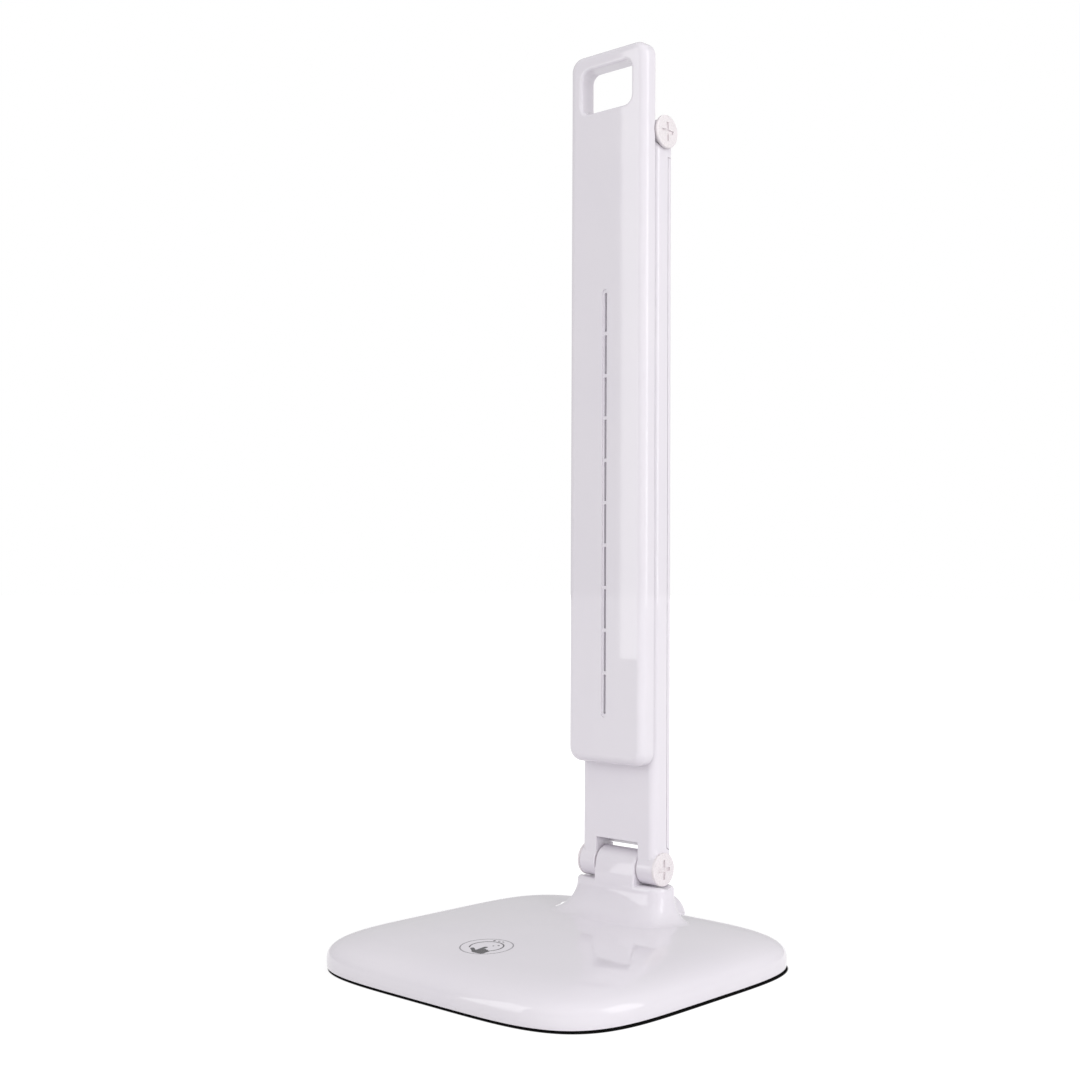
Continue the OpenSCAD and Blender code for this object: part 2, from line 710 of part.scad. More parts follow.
// Room of the rear cover; gap makes it smaller all round
module cover_room(gap) {
    y0 = arm_rear - cover_t + gap;
    across(-arm_w, arm_w) polygon([
        [y0, cover_low + gap], [y0 + cover_t + 5, cover_low + gap - 0.6 * (cover_t + 5)],
        [y0 + cover_t + 5, cover_high - gap], [y0, cover_high - gap]]);
}

function arm_post_places() = [for (x = [-1, 1], z = [0, 1])
    [x * arm_post[0], z == 0 ? arm_hollow[0] + arm_post[1] : arm_hollow[1] - arm_post[1]]];

module arm_shell() color(white) difference() {
    union() {
        difference() {
            union() {
                arm_body(hinge_z, top_z);
                for (m = [0, 1]) mirror([m, 0, 0])
                    soft_pivot(hinge_z, ear_r, ear_in, ear_out, ear_edge_r);
            }
            cover_room(0);
            // hollow
            translate([-arm_w / 2 + arm_wall, arm_front + arm_wall, arm_hollow[0]])
                cube([arm_w - 2 * arm_wall, arm_t, arm_hollow[1] - arm_hollow[0]]);
            // window over the base knuckle
            translate([-ear_in, arm_front - 1, hinge_z - 20])
                cube([2 * ear_in, arm_t + 2, window_top - hinge_z + 20]);
            // shoulders under the head's ears
            pivot_both(top_z, upper_ear_r + swing_gap, knuckle_w / 2, arm_w);
        }
        pivot(top_z, arm_top_r, -knuckle_w / 2, knuckle_w / 2);
        for (p = arm_post_places())
            rod_y(p[0], p[1], arm_post_r, arm_front + arm_wall / 2, arm_rear - cover_t);
    }
    pivot(hinge_z, shaft_r + run_gap, -arm_w, arm_w);
    pivot(top_z, bush_r + run_gap, -arm_w, arm_w);
    for (p = arm_post_places())
        rod_y(p[0], p[1], fine_r + run_gap, arm_front + arm_wall, arm_rear);
    // ways of the lead
    upright_rod(way_x, hinge_y, lead_way_r, hinge_z, arm_hollow[0] + 1);
    upright_rod(0, hinge_y, lead_way_r, arm_hollow[1] - 1, top_z);
}

module arm_cover() color(white) difference() {
    union() {
        intersection() {
            arm_body(hinge_z, top_z);
            cover_room(seam);
        }
        // ribs inside the hollow's side walls
        for (m = [0, 1]) mirror([m, 0, 0])
            translate([arm_w / 2 - arm_wall - fit - rib_t, arm_rear - cover_t - rib_h,
                       arm_hollow[0] + rib_short])
                cube([rib_t, rib_h + seam + 2 * fit,
                      arm_hollow[1] - arm_hollow[0] - 2 * rib_short]);
    }
    for (p = arm_post_places()) {
        rod_y(p[0], p[1], fine_r + fit, arm_rear - cover_t - 1, arm_rear + 1);
        rod_y(p[0], p[1], fine_head_r + fit, arm_rear - fine_head_t, arm_rear + 1);
    }
}

module arm_screws() color(steel)
    for (p = arm_post_places())
        translate([p[0], arm_rear - fine_head_t, p[1]]) rotate([90, 0, 0])
            screw(fine_r, arm_screw_len, fine_head_r, fine_head_t);

module arm_lead() color(black) {
    turn = arm_hollow[1] - 4;
    lead([[way_x, hinge_y, hinge_z + shaft_r + 0.5], [way_x, hinge_y, turn - 6],
          [0, hinge_y, turn], [0, hinge_y, top_z - shaft_r - 0.5]], lead_r, [0, 1, 0]);
}

module upper_bushes() bushes(top_z);

// ---------- head ----------

frame_t = 2;                  // the frame's share of the head's thickness
frame_lip = 0.8;              // lip over the diffuser's edge
lip_w = 1;
light_end = 12.5;             // border below the light window
light_top = 16;               // distance of the window's top from the upper hinge axis
light_w = head_w - 2 * light_border;
light_low = head_low + light_end;
light_high = top_z - light_top;
light_len = light_high - light_low;
light_mid = (light_low + light_high) / 2 - head_mid;
seat_w = light_w + 2 * lip_w;
seat_len = light_len + 2 * lip_w;
grip_mid = head_high - grip_bar - grip_h / 2 - head_mid;
grip_lip_r = 1.5;
web_half = 2.9;               // half height of the web between an ear and the frame
web_in = 1.8;                 // the webs stop this far inside the ears' outer faces
web_out = ear_out - web_in;
upper_ear_r = 6.4;
spacer_r = ear_r - 0.6;
boss_r = 2.6;                 // screw bosses inside the head cover
head_screw_at = [[head_w / 2 - 7.5, (head_low + light_low) / 2 - head_mid],
                 [8, light_high + 5 - head_mid]];
head_screw_len = 4;
frame_edge_r = 0.8;
rail_t = 1;                   // rail that locates the frame inside the cover
rail_h = 1.2;

function head_screws_at() = [for (p = head_screw_at, x = [-1, 1]) [x * p[0], p[1]]];

module vents(w, z0, z1, grow) {
    for (k = [0:vent_count - 1])
        translate([0, head_low - head_mid + vent_from + (k + 0.5) * vent_pitch, z0])
            linear_extrude(z1 - z0)
                square([w, vent_pitch - vent_bridge + grow], center = true);
}

module head_cover() color(white) in_head() difference() {
    union() {
        difference() {
            union() {
                swept_round(head_w, head_len, head_corner_r) difference() {
                    edge_profile(head_corner_r, frame_t, head_t, head_edge_r);
                    edge_profile(head_corner_r - head_wall, frame_t - 1, head_t - head_wall,
                                 head_edge_r - head_wall);
                }
                translate([0, 0, head_t - head_wall]) linear_extrude(head_wall)
                    square([head_w - 2 * head_corner_r, head_len - 2 * head_corner_r],
                           center = true);
            }
            translate([0, grip_mid, 0]) linear_extrude(head_t + 1)
                rounded(grip_w + 2 * head_wall, grip_h + 2 * head_wall, grip_r + head_wall);
        }
        // walls of the finger opening, with a rounded front lip
        translate([0, grip_mid, 0])
            swept_round(grip_w + 2 * head_wall, grip_h + 2 * head_wall, grip_r + head_wall)
                translate([grip_r + head_wall, 0]) mirror([1, 0])
                    edge_profile(head_wall, frame_t, head_t, grip_lip_r);
        for (p = head_screws_at())
            translate([p[0], p[1], frame_t]) cylinder(r = boss_r, h = head_t - frame_t - 1);
    }
    for (p = head_screws_at())
        translate([p[0], p[1], frame_t - 1])
            cylinder(r = fine_r + run_gap, h = head_screw_len + 1);
    // groove and vents
    translate([0, head_low - head_mid + vent_from + vent_count * vent_pitch / 2,
               head_t - groove_t]) linear_extrude(1)
        rounded(groove_w, vent_count * vent_pitch + 2, groove_w / 2 - eps);
    vents(vent_w, head_t - head_wall - 1, head_t, 0);
}

// Room inside the head cover's side walls, made smaller all round by gap
module inside_head(gap) {
    in = head_wall + gap;
    rounded(head_w - 2 * in, head_len - 2 * in, head_corner_r - in);
}

module head_frame() color(white) difference() {
    union() {
        in_head() {
            swept_round(head_w, head_len, head_corner_r) mirror([0, 1])
                translate([0, -frame_t]) edge_profile(head_corner_r, 0, frame_t, frame_edge_r);
            linear_extrude(frame_t)
                square([head_w - 2 * head_corner_r, head_len - 2 * head_corner_r], center = true);
            // lip that locates the frame inside the cover
            translate([0, 0, frame_t - eps]) linear_extrude(rail_h) difference() {
                inside_head(fit);
                inside_head(fit + rail_t);
            }
        }
        // ears: round ends on webs that grow out of the frame
        pivot_both(top_z, upper_ear_r, ear_in, ear_out);
        across_both(ear_in, web_out)
            translate([head_rear - frame_t / 2, top_z - web_half])
                square([hinge_y - head_rear + frame_t / 2, 2 * web_half]);
    }
    in_head() {
        translate([0, light_mid, -1]) linear_extrude(frame_t + 2) rounded(light_w, light_len, 3);
        translate([0, light_mid, frame_lip]) linear_extrude(frame_t)
            rounded(seat_w, seat_len, 3 + lip_w);
        translate([0, grip_mid, -1]) linear_extrude(frame_t + 4) rounded(grip_w, grip_h, grip_r);
        for (p = head_screws_at()) translate([p[0], p[1], -1]) {
            cylinder(r = fine_r + fit, h = frame_t + 2);
            cylinder(r = fine_head_r + fit, h = 1 + fine_head_t);
        }
    }
    // hollows that clear the cap screws, the shaft's seat and the way of the lead
    pivot_both(top_z, ear_r + 0.5, ear_out, head_w);
    pivot(top_z, shaft_r + run_gap, -head_w, head_w);
    rod_y(way_x, top_z, 1.6, head_rear - 10, hinge_y);
}

heat_front = head_t - head_wall - fit;         // z of the heat plate's front face in the head
heat_rear = heat_front - heat_t;
guide_rear = frame_lip + diffuser_t + 2 * fit;
guide_front = heat_rear - 2 * fit - reflector_t;
guide_w = light_w - 4 * fit;
led_t = 1.1;
led_l = 3;
led_in = 0.4;                                  // margin beside an LED on its board
board_in = guide_w / 2 + led_t + 2 * fit;      // inner face of an LED board

module head_slab(w, l, z0, z1) {
    in_head() translate([-w / 2, light_mid - l / 2, z0]) cube([w, l, z1 - z0]);
}

module heat_plate() color([0.35, 0.35, 0.37])
    head_slab(head_w - 2 * head_edge_r - 2 * fit, seat_len - 2, heat_rear, heat_front);

module led_boards() color([0.9, 0.9, 0.86])
    in_head() for (m = [0, 1]) mirror([m, 0, 0])
        translate([board_in, light_mid - light_len / 2, guide_rear])
            cube([led_board_t, light_len, heat_rear - fit - guide_rear]);

module leds() color([0.98, 0.9, 0.55])
    in_head() for (m = [0, 1], k = [0:led_count - 1]) mirror([m, 0, 0])
        translate([board_in - led_t,
                   light_mid + light_len * ((k + 0.5) / led_count - 0.5) - led_l / 2,
                   guide_rear + led_in])
            cube([led_t, led_l, heat_rear - fit - guide_rear - 2 * led_in]);

module reflector() color([0.97, 0.97, 0.97])
    head_slab(guide_w, light_len, heat_rear - fit - reflector_t, heat_rear - fit);

module light_guide() color([0.8, 0.88, 0.92])
    head_slab(guide_w, light_len, guide_rear, guide_front);

module diffuser() color([0.97, 0.97, 0.94])
    in_head() translate([0, light_mid, frame_lip + fit]) linear_extrude(diffuser_t)
        rounded(seat_w - 2 * fit, seat_len - 2 * fit, 3 + lip_w - fit);

module head_screws() color(steel)
    in_head() for (p = head_screws_at())
        translate([p[0], p[1], fine_head_t])
            screw(fine_r, head_screw_len, fine_head_r, fine_head_t);

module head_lead() color(black) {
    run_y = head_rear - frame_t - lead_r - 1;
    lead([[way_x, hinge_y - shaft_r - 0.5, top_z], [way_x, run_y, top_z],
          [way_x, run_y, light_high + lip_w + 0.5]], 1.2, [1, 0, 0]);
}

base_shell();
base_plate();
base_feet();
base_screws();
ballast();
ballast_screws();
touch_board();
board_parts();
board_screws();
touch_spring();
dc_socket();
dc_pin();
base_lead();
lower_bushes();
arm_shell();
arm_cover();
arm_screws();
lower_shaft();
lower_washers();
lower_caps();
arm_lead();
upper_bushes();
head_cover();
head_frame();
heat_plate();
led_boards();
leds();
reflector();
light_guide();
diffuser();
head_screws();
upper_shaft();
upper_washers();
upper_spacers();
upper_caps();
head_lead();
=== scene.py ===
# Folding LED desk lamp, dressed: smooth skins for the base housing and the head, the touch
# mark, the finishes of all pieces, and a plain studio. Lengths are in millimetres unless said.
import math

import bmesh
import bpy
from mathutils import Matrix, Vector
from mathutils.bvhtree import BVHTree
from mathutils.interpolate import poly_3d_calc


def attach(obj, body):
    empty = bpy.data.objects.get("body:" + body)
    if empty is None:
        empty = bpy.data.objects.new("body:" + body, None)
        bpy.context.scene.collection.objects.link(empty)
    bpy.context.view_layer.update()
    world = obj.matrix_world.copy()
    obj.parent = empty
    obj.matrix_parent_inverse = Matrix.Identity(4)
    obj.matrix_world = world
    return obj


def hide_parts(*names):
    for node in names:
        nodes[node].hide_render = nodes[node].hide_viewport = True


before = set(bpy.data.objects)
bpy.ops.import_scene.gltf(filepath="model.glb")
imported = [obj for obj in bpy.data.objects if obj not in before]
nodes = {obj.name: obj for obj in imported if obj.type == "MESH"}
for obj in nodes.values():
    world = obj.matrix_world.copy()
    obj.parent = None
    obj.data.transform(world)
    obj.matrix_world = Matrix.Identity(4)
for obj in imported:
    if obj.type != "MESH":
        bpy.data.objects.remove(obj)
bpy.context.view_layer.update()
MM = 0.001

# ---------- sizes of the lamp ----------

# As in the part, but for the head's corners, the finger opening's height and bar, and the
# printed mark. PART_GRIP_H and PART_GRIP_BAR are the opening's sizes in the part.
BASE_W, BASE_D, BASE_SQUARE = 170.0, 168.0, 4.6
RIM_GAP, RIM_H, RIM_IN = 1.1, 3.6, 0.1
EDGE_W, EDGE_H, EDGE_FULL, EDGE_REACH = 29.0, 13.7, 3.2, 24.0
CROWN_RISE, BASE_WALL = 4.0, 2.4
HINGE_Y, HINGE_Z = 47.4, 39.4
NECK_W, NECK_D, NECK_SQUARE, NECK_EDGE = 51.6, 17.6, 4.0, 1.8
SHOULDER_H = 31.8
NECK_TOP = SHOULDER_H - NECK_EDGE
ROOT_SIDE, ROOT_FRONT = 15.0, 17.0
ROOT_REAR = BASE_D / 2 - EDGE_REACH - HINGE_Y - NECK_D / 2
KNUCKLE_W, KNUCKLE_R, SADDLE_R, BUSH_SEAT_R = 24.0, 7.7, 8.5, 4.85
INLET_R, INLET_Z, INLET_END, INLET_WALL, NOSE_SEAT_R = 10.5, 10.0, 81.0, 2.2, 4.1
LEAD_WAY_R = 2.1
TOUCH_Y = -45.0
POSTS = [(x, y) for x in (-60, 60) for y in (-55, 55)]
POST_R, POST_LOW, POST_BORE_R, POST_SUNK, POST_CAP = 4.0, 4.2, 1.45, 0.4, 1.5
BOARD_POSTS = [(-14, TOUCH_Y), (14, TOUCH_Y)]
BOARD_POST_R, BOARD_TOP, BOARD_BORE_R = 2.8, 8.0, 1.05
HEAD_W, HEAD_T, HEAD_REAR, HEAD_LOW, HEAD_HIGH = 46.0, 8.8, 40.3, 87.4, 422.4
HEAD_CORNER, HEAD_EDGE, HEAD_WALL, BACK_T, BACK_EDGE = 6.6, 4.0, 1.8, 2.0, 0.8
BAND_W, BAND_R = 4.0, 3.0
HEAD_LENGTH, HEAD_MIDDLE = HEAD_HIGH - HEAD_LOW, (HEAD_HIGH + HEAD_LOW) / 2
HEAD_FRONT, HEAD_SEAM = HEAD_REAR - HEAD_T, HEAD_REAR - BACK_T
GRIP_W, GRIP_H, GRIP_R, GRIP_LIP, GRIP_BAR = 30.4, 20.8, 4.5, 1.5, 7.9
GRIP_Z = HEAD_HIGH - GRIP_BAR - GRIP_H / 2
PART_GRIP_H, PART_GRIP_BAR = 21.0, 5.0
VENT_COUNT, VENT_FROM, VENT_PITCH, VENT_W, VENT_BRIDGE = 10, 22.5, 19.8, 1.2, 1.6
GROOVE_W, GROOVE_T = 3.2, 0.5
TOP_Z, CAP_ROOM_R, ARM_W = 381.9, 8.2, 44.0
MARK_R, MARK_LINE, ARC_R, ARC_LINE = 11.4, 0.5, 7.3, 0.62
INK_UP, INK_DOWN = 0.03, -0.02


# ---------- mesh helpers ----------

def mix(a, b, u):
    return a + (b - a) * u


def power(v, e):
    return math.copysign(abs(v) ** e, v)


def evenly(curve, steps, bend=0.5):
    """Parameters that divide a plane curve evenly by its length and by how much it turns."""
    fine = 4000
    points = [curve(i / fine) for i in range(fine + 1)]
    run, turn = [0.0], [0.0]
    last = None
    for a, b in zip(points, points[1:]):
        run.append(run[-1] + math.dist(a, b))
        heading = math.atan2(b[1] - a[1], b[0] - a[0])
        swing = 0.0 if last is None else abs(math.remainder(heading - last, 2 * math.pi))
        turn.append(turn[-1] + swing)
        last = heading
    whole = [(1 - bend) * r / run[-1] + bend * t / (turn[-1] or 1) for r, t in zip(run, turn)]
    picks, at = [], 0
    for k in range(steps + 1):
        goal = whole[-1] * k / steps
        while at < fine and whole[at + 1] < goal:
            at += 1
        span = whole[min(at + 1, fine)] - whole[at]
        picks.append(min(1.0, (at + ((goal - whole[at]) / span if span > 0 else 0)) / fine))
    picks[0], picks[-1] = 0.0, 1.0
    return picks


def mesh_of(name, points, faces):
    mesh = bpy.data.meshes.new(name)
    mesh.from_pydata(points, [], faces)
    mesh.update()
    return mesh


def put(name, mesh):
    piece = bpy.data.objects.new(name, mesh)
    bpy.context.scene.collection.objects.link(piece)
    return piece


def loft(name, rings):
    """Closed skin over rings with the same number of points, from the first to the last."""
    n = len(rings[0])
    points = [p for r in rings for p in r]
    faces = [list(range(n))[::-1], [(len(rings) - 1) * n + i for i in range(n)]]
    for k in range(len(rings) - 1):
        for i in range(n):
            j = (i + 1) % n
            faces.append([k * n + i, k * n + j, (k + 1) * n + j, (k + 1) * n + i])
    return put(name, mesh_of(name, points, faces))


def lathe(axis, name, profile, a, b, sides):
    """Closed solid turned about a line along an axis. The line's places on the other two axes
    are a and b, and profile is (place along the line, radius) from low to high."""
    rings = []
    for along, r in profile:
        ring = []
        for i in range(sides):
            u = r * math.cos(2 * math.pi * i / sides)
            v = r * math.sin(2 * math.pi * i / sides)
            if axis == "X":
                ring.append((along, a + u, b + v))
            elif axis == "Y":
                ring.append((a - u, along, b + v))
            else:
                ring.append((a + u, b + v, along))
        rings.append(ring)
    return loft(name, rings)


def rod(axis, name, low, high, r, a, b, sides):
    return lathe(axis, name, [(low, r), (high, r)], a, b, sides)


def block(name, low, high):
    rings = [[(low[0], low[1], z), (high[0], low[1], z), (high[0], high[1], z),
              (low[0], high[1], z)] for z in (low[2], high[2])]
    return loft(name, rings)


def settle(piece):
    """Turns what the piece's modifiers make into its mesh."""
    done = piece.evaluated_get(bpy.context.evaluated_depsgraph_get())
    mesh = bpy.data.meshes.new_from_object(done)
    piece.modifiers.clear()
    piece.data = mesh


def carve(piece, other, how):
    """Joins, cuts or keeps what two solids share; the other solid is used up."""
    step = piece.modifiers.new("step", "BOOLEAN")
    step.operation, step.object, step.solver = how, other, "MANIFOLD"
    settle(piece)
    bpy.data.objects.remove(other)
    return piece


def crease(mesh, degrees):
    """Smooth everywhere but over edges that turn by more than this."""
    work = bmesh.new()
    work.from_mesh(mesh)
    for face in work.faces:
        face.smooth = True
    for edge in work.edges:
        edge.smooth = len(edge.link_faces) == 2 and edge.calc_face_angle(0) < math.radians(degrees)
    work.to_mesh(mesh)
    work.free()


def keep_flow(piece, source, near=0.02):
    """Where a carved piece still has the source's skin, it keeps the source's own normals."""
    guide = source.data
    tree = BVHTree.FromPolygons([v.co for v in guide.vertices],
                                [p.vertices[:] for p in guide.polygons])
    mesh = piece.data
    normals = [Vector(n.vector) for n in mesh.corner_normals]
    for face in mesh.polygons:
        spot, way, index, gap = tree.find_nearest(face.center)
        if spot is None or gap > near or way.dot(face.normal) < 0.93:
            continue
        for corner in face.loop_indices:
            at = mesh.vertices[mesh.loops[corner].vertex_index].co
            spot, way, index, gap = tree.find_nearest(at)
            if spot is None or gap > near:
                continue
            side = guide.polygons[index]
            shares = poly_3d_calc([guide.vertices[i].co for i in side.vertices], spot)
            blend = Vector((0, 0, 0))
            for share, i in zip(shares, side.vertices):
                blend += guide.vertices[i].normal * share
            if blend.dot(normals[corner]) > 0.8:
                normals[corner] = blend.normalized()
    mesh.normals_split_custom_set(normals)


def to_metres(piece):
    piece.data.transform(Matrix.Scale(MM, 4))
    return piece


# ---------- camera ----------

camera = bpy.data.objects.new("camera", bpy.data.cameras.new("camera"))
bpy.context.scene.collection.objects.link(camera)
bpy.context.scene.camera = camera
camera.data.sensor_width, camera.data.lens = 36.0, 51.0
camera.data.clip_start, camera.data.clip_end = 0.05, 50


def aim_camera(place, heading, tilt, lean):
    """Camera at a place, turned to the left, tilted up and leaning, in degrees."""
    a, p, r = map(math.radians, (heading, tilt, lean))
    ahead = Vector((-math.sin(a) * math.cos(p), math.cos(a) * math.cos(p), math.sin(p)))
    right = Vector((math.cos(a), math.sin(a), 0))
    up = right.cross(ahead)
    x = right * math.cos(r) + up * math.sin(r)
    y = up * math.cos(r) - right * math.sin(r)
    turn = Matrix((x, y, -ahead)).transposed().to_4x4()
    camera.matrix_world = Matrix.Translation(Vector(place) * MM) @ turn


aim_camera(place=(461.77, -512.03, 173.30), heading=42.758, tilt=1.451, lean=0.256)


# ---------- base housing ----------

def outline(mid_y, half_w, half_d, square, z, turns):
    return [(half_w * power(math.cos(t), 2 / square),
             mid_y + half_d * power(math.sin(t), 2 / square), z) for t in turns]


def dome_z(inwards):
    """Height of the domed base at a distance inside its outline."""
    edge = 1.0 if inwards >= EDGE_W else (
        (1 - (1 - max(0.0, inwards) / EDGE_W) ** EDGE_FULL) ** (1 / EDGE_FULL))
    return (RIM_H + CROWN_RISE * (1 - (1 - inwards / (BASE_D / 2)) ** 2) + (EDGE_H - RIM_H) * edge)


def inside(x, y):
    """Distance of a place inside the base's outline."""
    low, high = 0.0, BASE_D / 2
    for k in range(22):
        middle = (low + high) / 2
        if ((abs(x) / (BASE_W / 2 - middle)) ** BASE_SQUARE
                + (abs(y) / (BASE_D / 2 - middle)) ** BASE_SQUARE > 1):
            high = middle
        else:
            low = middle
    return (low + high) / 2


def crown_ring(u, wall, turns):
    """On the dome from the rounded edge inwards, curving up to the neck near its foot."""
    ring = []
    for t in turns:
        c, s = math.cos(t), math.sin(t)
        out = Vector(((BASE_W / 2 - EDGE_REACH - wall) * power(c, 2 / BASE_SQUARE),
                      (BASE_D / 2 - EDGE_REACH - wall) * power(s, 2 / BASE_SQUARE)))
        neck = Vector(((NECK_W / 2 - wall) * power(c, 2 / NECK_SQUARE),
                       HINGE_Y + (NECK_D / 2 - wall) * power(s, 2 / NECK_SQUARE)))
        at = out.lerp(neck, u)
        root = math.hypot(ROOT_SIDE * c, (ROOT_FRONT if s < 0 else ROOT_REAR) * s)
        away = min(1.0, (1 - u) * (out - neck).length / root)
        rise = 1 - math.sqrt(1 - (1 - away) ** 2)
        ring.append((at.x, at.y, mix(dome_z(inside(at.x, at.y) - wall), NECK_TOP, rise) - wall))
    return ring


def edge_in(a):
    return EDGE_W * (1 - max(0.0, math.cos(a)) ** (2 / EDGE_FULL))


def edge_ring(a, wall, turns):
    inwards = edge_in(a)
    return outline(0, BASE_W / 2 - inwards - wall, BASE_D / 2 - inwards - wall, BASE_SQUARE,
                   dome_z(inwards) - wall, turns)


def neck_edge_ring(a, wall, turns):
    inwards = NECK_EDGE * (1 - math.cos(a)) + wall
    return outline(HINGE_Y, NECK_W / 2 - inwards, NECK_D / 2 - inwards, NECK_SQUARE,
                   NECK_TOP + NECK_EDGE * math.sin(a) - wall, turns)


def quarter_turns(steps):
    """Turns round the whole outline, closer together where its corners bend."""
    corner = evenly(lambda s: (BASE_W / 2 * math.cos(math.pi / 2 * s) ** (2 / BASE_SQUARE),
                               BASE_D / 2 * math.sin(math.pi / 2 * s) ** (2 / BASE_SQUARE)),
                    steps)
    first = [math.pi / 2 * s for s in corner]
    second = [math.pi - t for t in reversed(first)]
    half = first + second[1:]
    return half[:-1] + [t + math.pi for t in half[:-1]]


def housing_skin(name, wall, low_z, quarter, edge_steps, crown_steps):
    """The housing's outside, or its hollow where a wall is given, from the rim to the neck."""
    turns = quarter_turns(quarter)
    rim = RIM_IN + wall
    broken_edge = ((0, 0),) if wall else ((0.3, 0), (0.08, 0.1), (0, 0.35))
    rings = [outline(0, BASE_W / 2 - rim - inset, BASE_D / 2 - rim - inset, BASE_SQUARE,
                     low_z + lift, turns) for inset, lift in broken_edge]
    last = math.acos((1 - EDGE_REACH / EDGE_W) ** (EDGE_FULL / 2))
    for s in evenly(lambda s: (edge_in(last * s), dome_z(edge_in(last * s))),
                    edge_steps)[1 if wall else 0:]:
        rings.append(edge_ring(last * s, wall, turns))
    for k in range(1, crown_steps + 1):
        rings.append(crown_ring(1 - (1 - k / crown_steps) ** 2, wall, turns))
    for k in range(1, 7):
        rings.append(neck_edge_ring(math.pi / 12 * k, wall, turns))
    return loft(name, rings)


def knuckle_block():
    """Knuckle on its column: round over the hinge, flowing into the neck's front and back."""
    soft, half = 0.9, KNUCKLE_W / 2
    low = NECK_TOP - HINGE_Z
    bend = low / 2
    stations = [-half + soft * (1 - math.cos(math.pi / 2 * k / 8)) for k in range(9)]
    stations = stations + [half * k / 12 for k in range(-10, 11)] + [-x for x in reversed(stations)]
    rings = []
    for x in stations:
        flow = (1 - (abs(x) / (NECK_W / 2)) ** NECK_SQUARE) ** (1 / NECK_SQUARE)
        inset = max(0.0, abs(x) - (half - soft))
        cut = soft - math.sqrt(max(0.0, soft * soft - inset * inset))
        flank, r = NECK_D / 2 * flow - 0.02 - cut, KNUCKLE_R - cut
        lean = math.acos(r / math.hypot(flank, bend)) - math.atan2(-bend, flank)
        end = (r * math.cos(lean), r * math.sin(lean))
        curve = [(mix(flank, mix(flank, end[0], k / 12), k / 12),
                  mix(mix(low, bend, k / 12), mix(bend, end[1], k / 12), k / 12))
                 for k in range(13)]
        arc = [(r * math.cos(t), r * math.sin(t))
               for t in (mix(lean, math.pi - lean, k / 72) for k in range(1, 72))]
        side = [(flank, low - 6)] + curve + arc + [(-y, z) for y, z in reversed(curve)]
        side += [(-flank, low - 6)]
        rings.append([(x, HINGE_Y + y, HINGE_Z + z) for y, z in side])
    return loft("knuckle", rings)


def inlet_boss():
    soft = 0.8
    profile = [(HINGE_Y, INLET_R), (INLET_END - soft, INLET_R)]
    profile += [(INLET_END - soft + soft * math.sin(math.pi / 12 * k),
                 INLET_R - soft + soft * math.cos(math.pi / 12 * k)) for k in range(1, 7)]
    boss = lathe("Y", "boss", profile, 0, INLET_Z, 128)
    keep = block("keep", (-20, HINGE_Y - 5, RIM_GAP), (20, 90, 30))
    return carve(boss, keep, "INTERSECT")


def hollow_out(piece):
    """Room inside the housing and inside the inlet's boss."""
    carve(piece, housing_skin("hollow", BASE_WALL, RIM_GAP - 1, 16, 8, 13), "DIFFERENCE")
    rear, way_r = INLET_END - INLET_WALL, INLET_R - INLET_WALL
    carve(piece, rod("Y", "boss_way", HINGE_Y, rear, way_r, 0, INLET_Z, 64), "DIFFERENCE")
    carve(piece, block("boss_room", (-way_r, HINGE_Y, RIM_GAP - 1), (way_r, rear, INLET_Z)),
          "DIFFERENCE")


def add_posts(piece):
    """Screw posts of the bottom plate and of the touch board, each bored from below."""
    top = dome_z(inside(*POSTS[-1])) - BASE_WALL + POST_SUNK
    for x, y in POSTS:
        carve(piece, rod("Z", "post", POST_LOW, top, POST_R, x, y, 40), "UNION")
        carve(piece, rod("Z", "bore", 0, top - POST_CAP, POST_BORE_R, x, y, 24), "DIFFERENCE")
    top = dome_z(BASE_D / 2 + TOUCH_Y) - BASE_WALL
    for x, y in BOARD_POSTS:
        carve(piece, rod("Z", "post", BOARD_TOP, top + BASE_WALL / 2, BOARD_POST_R, x, y, 32),
              "UNION")
        carve(piece, rod("Z", "bore", 0, top, BOARD_BORE_R, x, y, 24), "DIFFERENCE")


def cut_hinge_and_inlet(piece):
    """Dishes beside the knuckle, the bushes' seat, the lead's way and the inlet's hole."""
    for side in (-1, 1):
        low, high = sorted((side * KNUCKLE_W / 2, side * (NECK_W / 2 + 5)))
        carve(piece, rod("X", "dish", low, high, SADDLE_R, HINGE_Y, HINGE_Z, 192), "DIFFERENCE")
    carve(piece, rod("X", "bush_seat", -KNUCKLE_W, KNUCKLE_W, BUSH_SEAT_R, HINGE_Y, HINGE_Z, 96),
          "DIFFERENCE")
    carve(piece, rod("Z", "lead_way", SHOULDER_H - 12, HINGE_Z, LEAD_WAY_R, 0, HINGE_Y, 32),
          "DIFFERENCE")
    carve(piece, rod("Y", "nose_seat", INLET_END - INLET_WALL - 1, INLET_END + 1, NOSE_SEAT_R,
                     0, INLET_Z, 64), "DIFFERENCE")


def build_base_housing():
    skin = housing_skin("base_housing", 0, RIM_GAP, 72, 30, 72)
    for face in skin.data.polygons:
        face.use_smooth = True
    source = put("skin_source", skin.data.copy())
    piece = carve(skin, inlet_boss(), "UNION")
    hollow_out(piece)
    carve(piece, knuckle_block(), "UNION")
    add_posts(piece)
    cut_hinge_and_inlet(piece)
    crease(piece.data, 30)
    keep_flow(piece, source)
    return piece, source


# ---------- head skins ----------

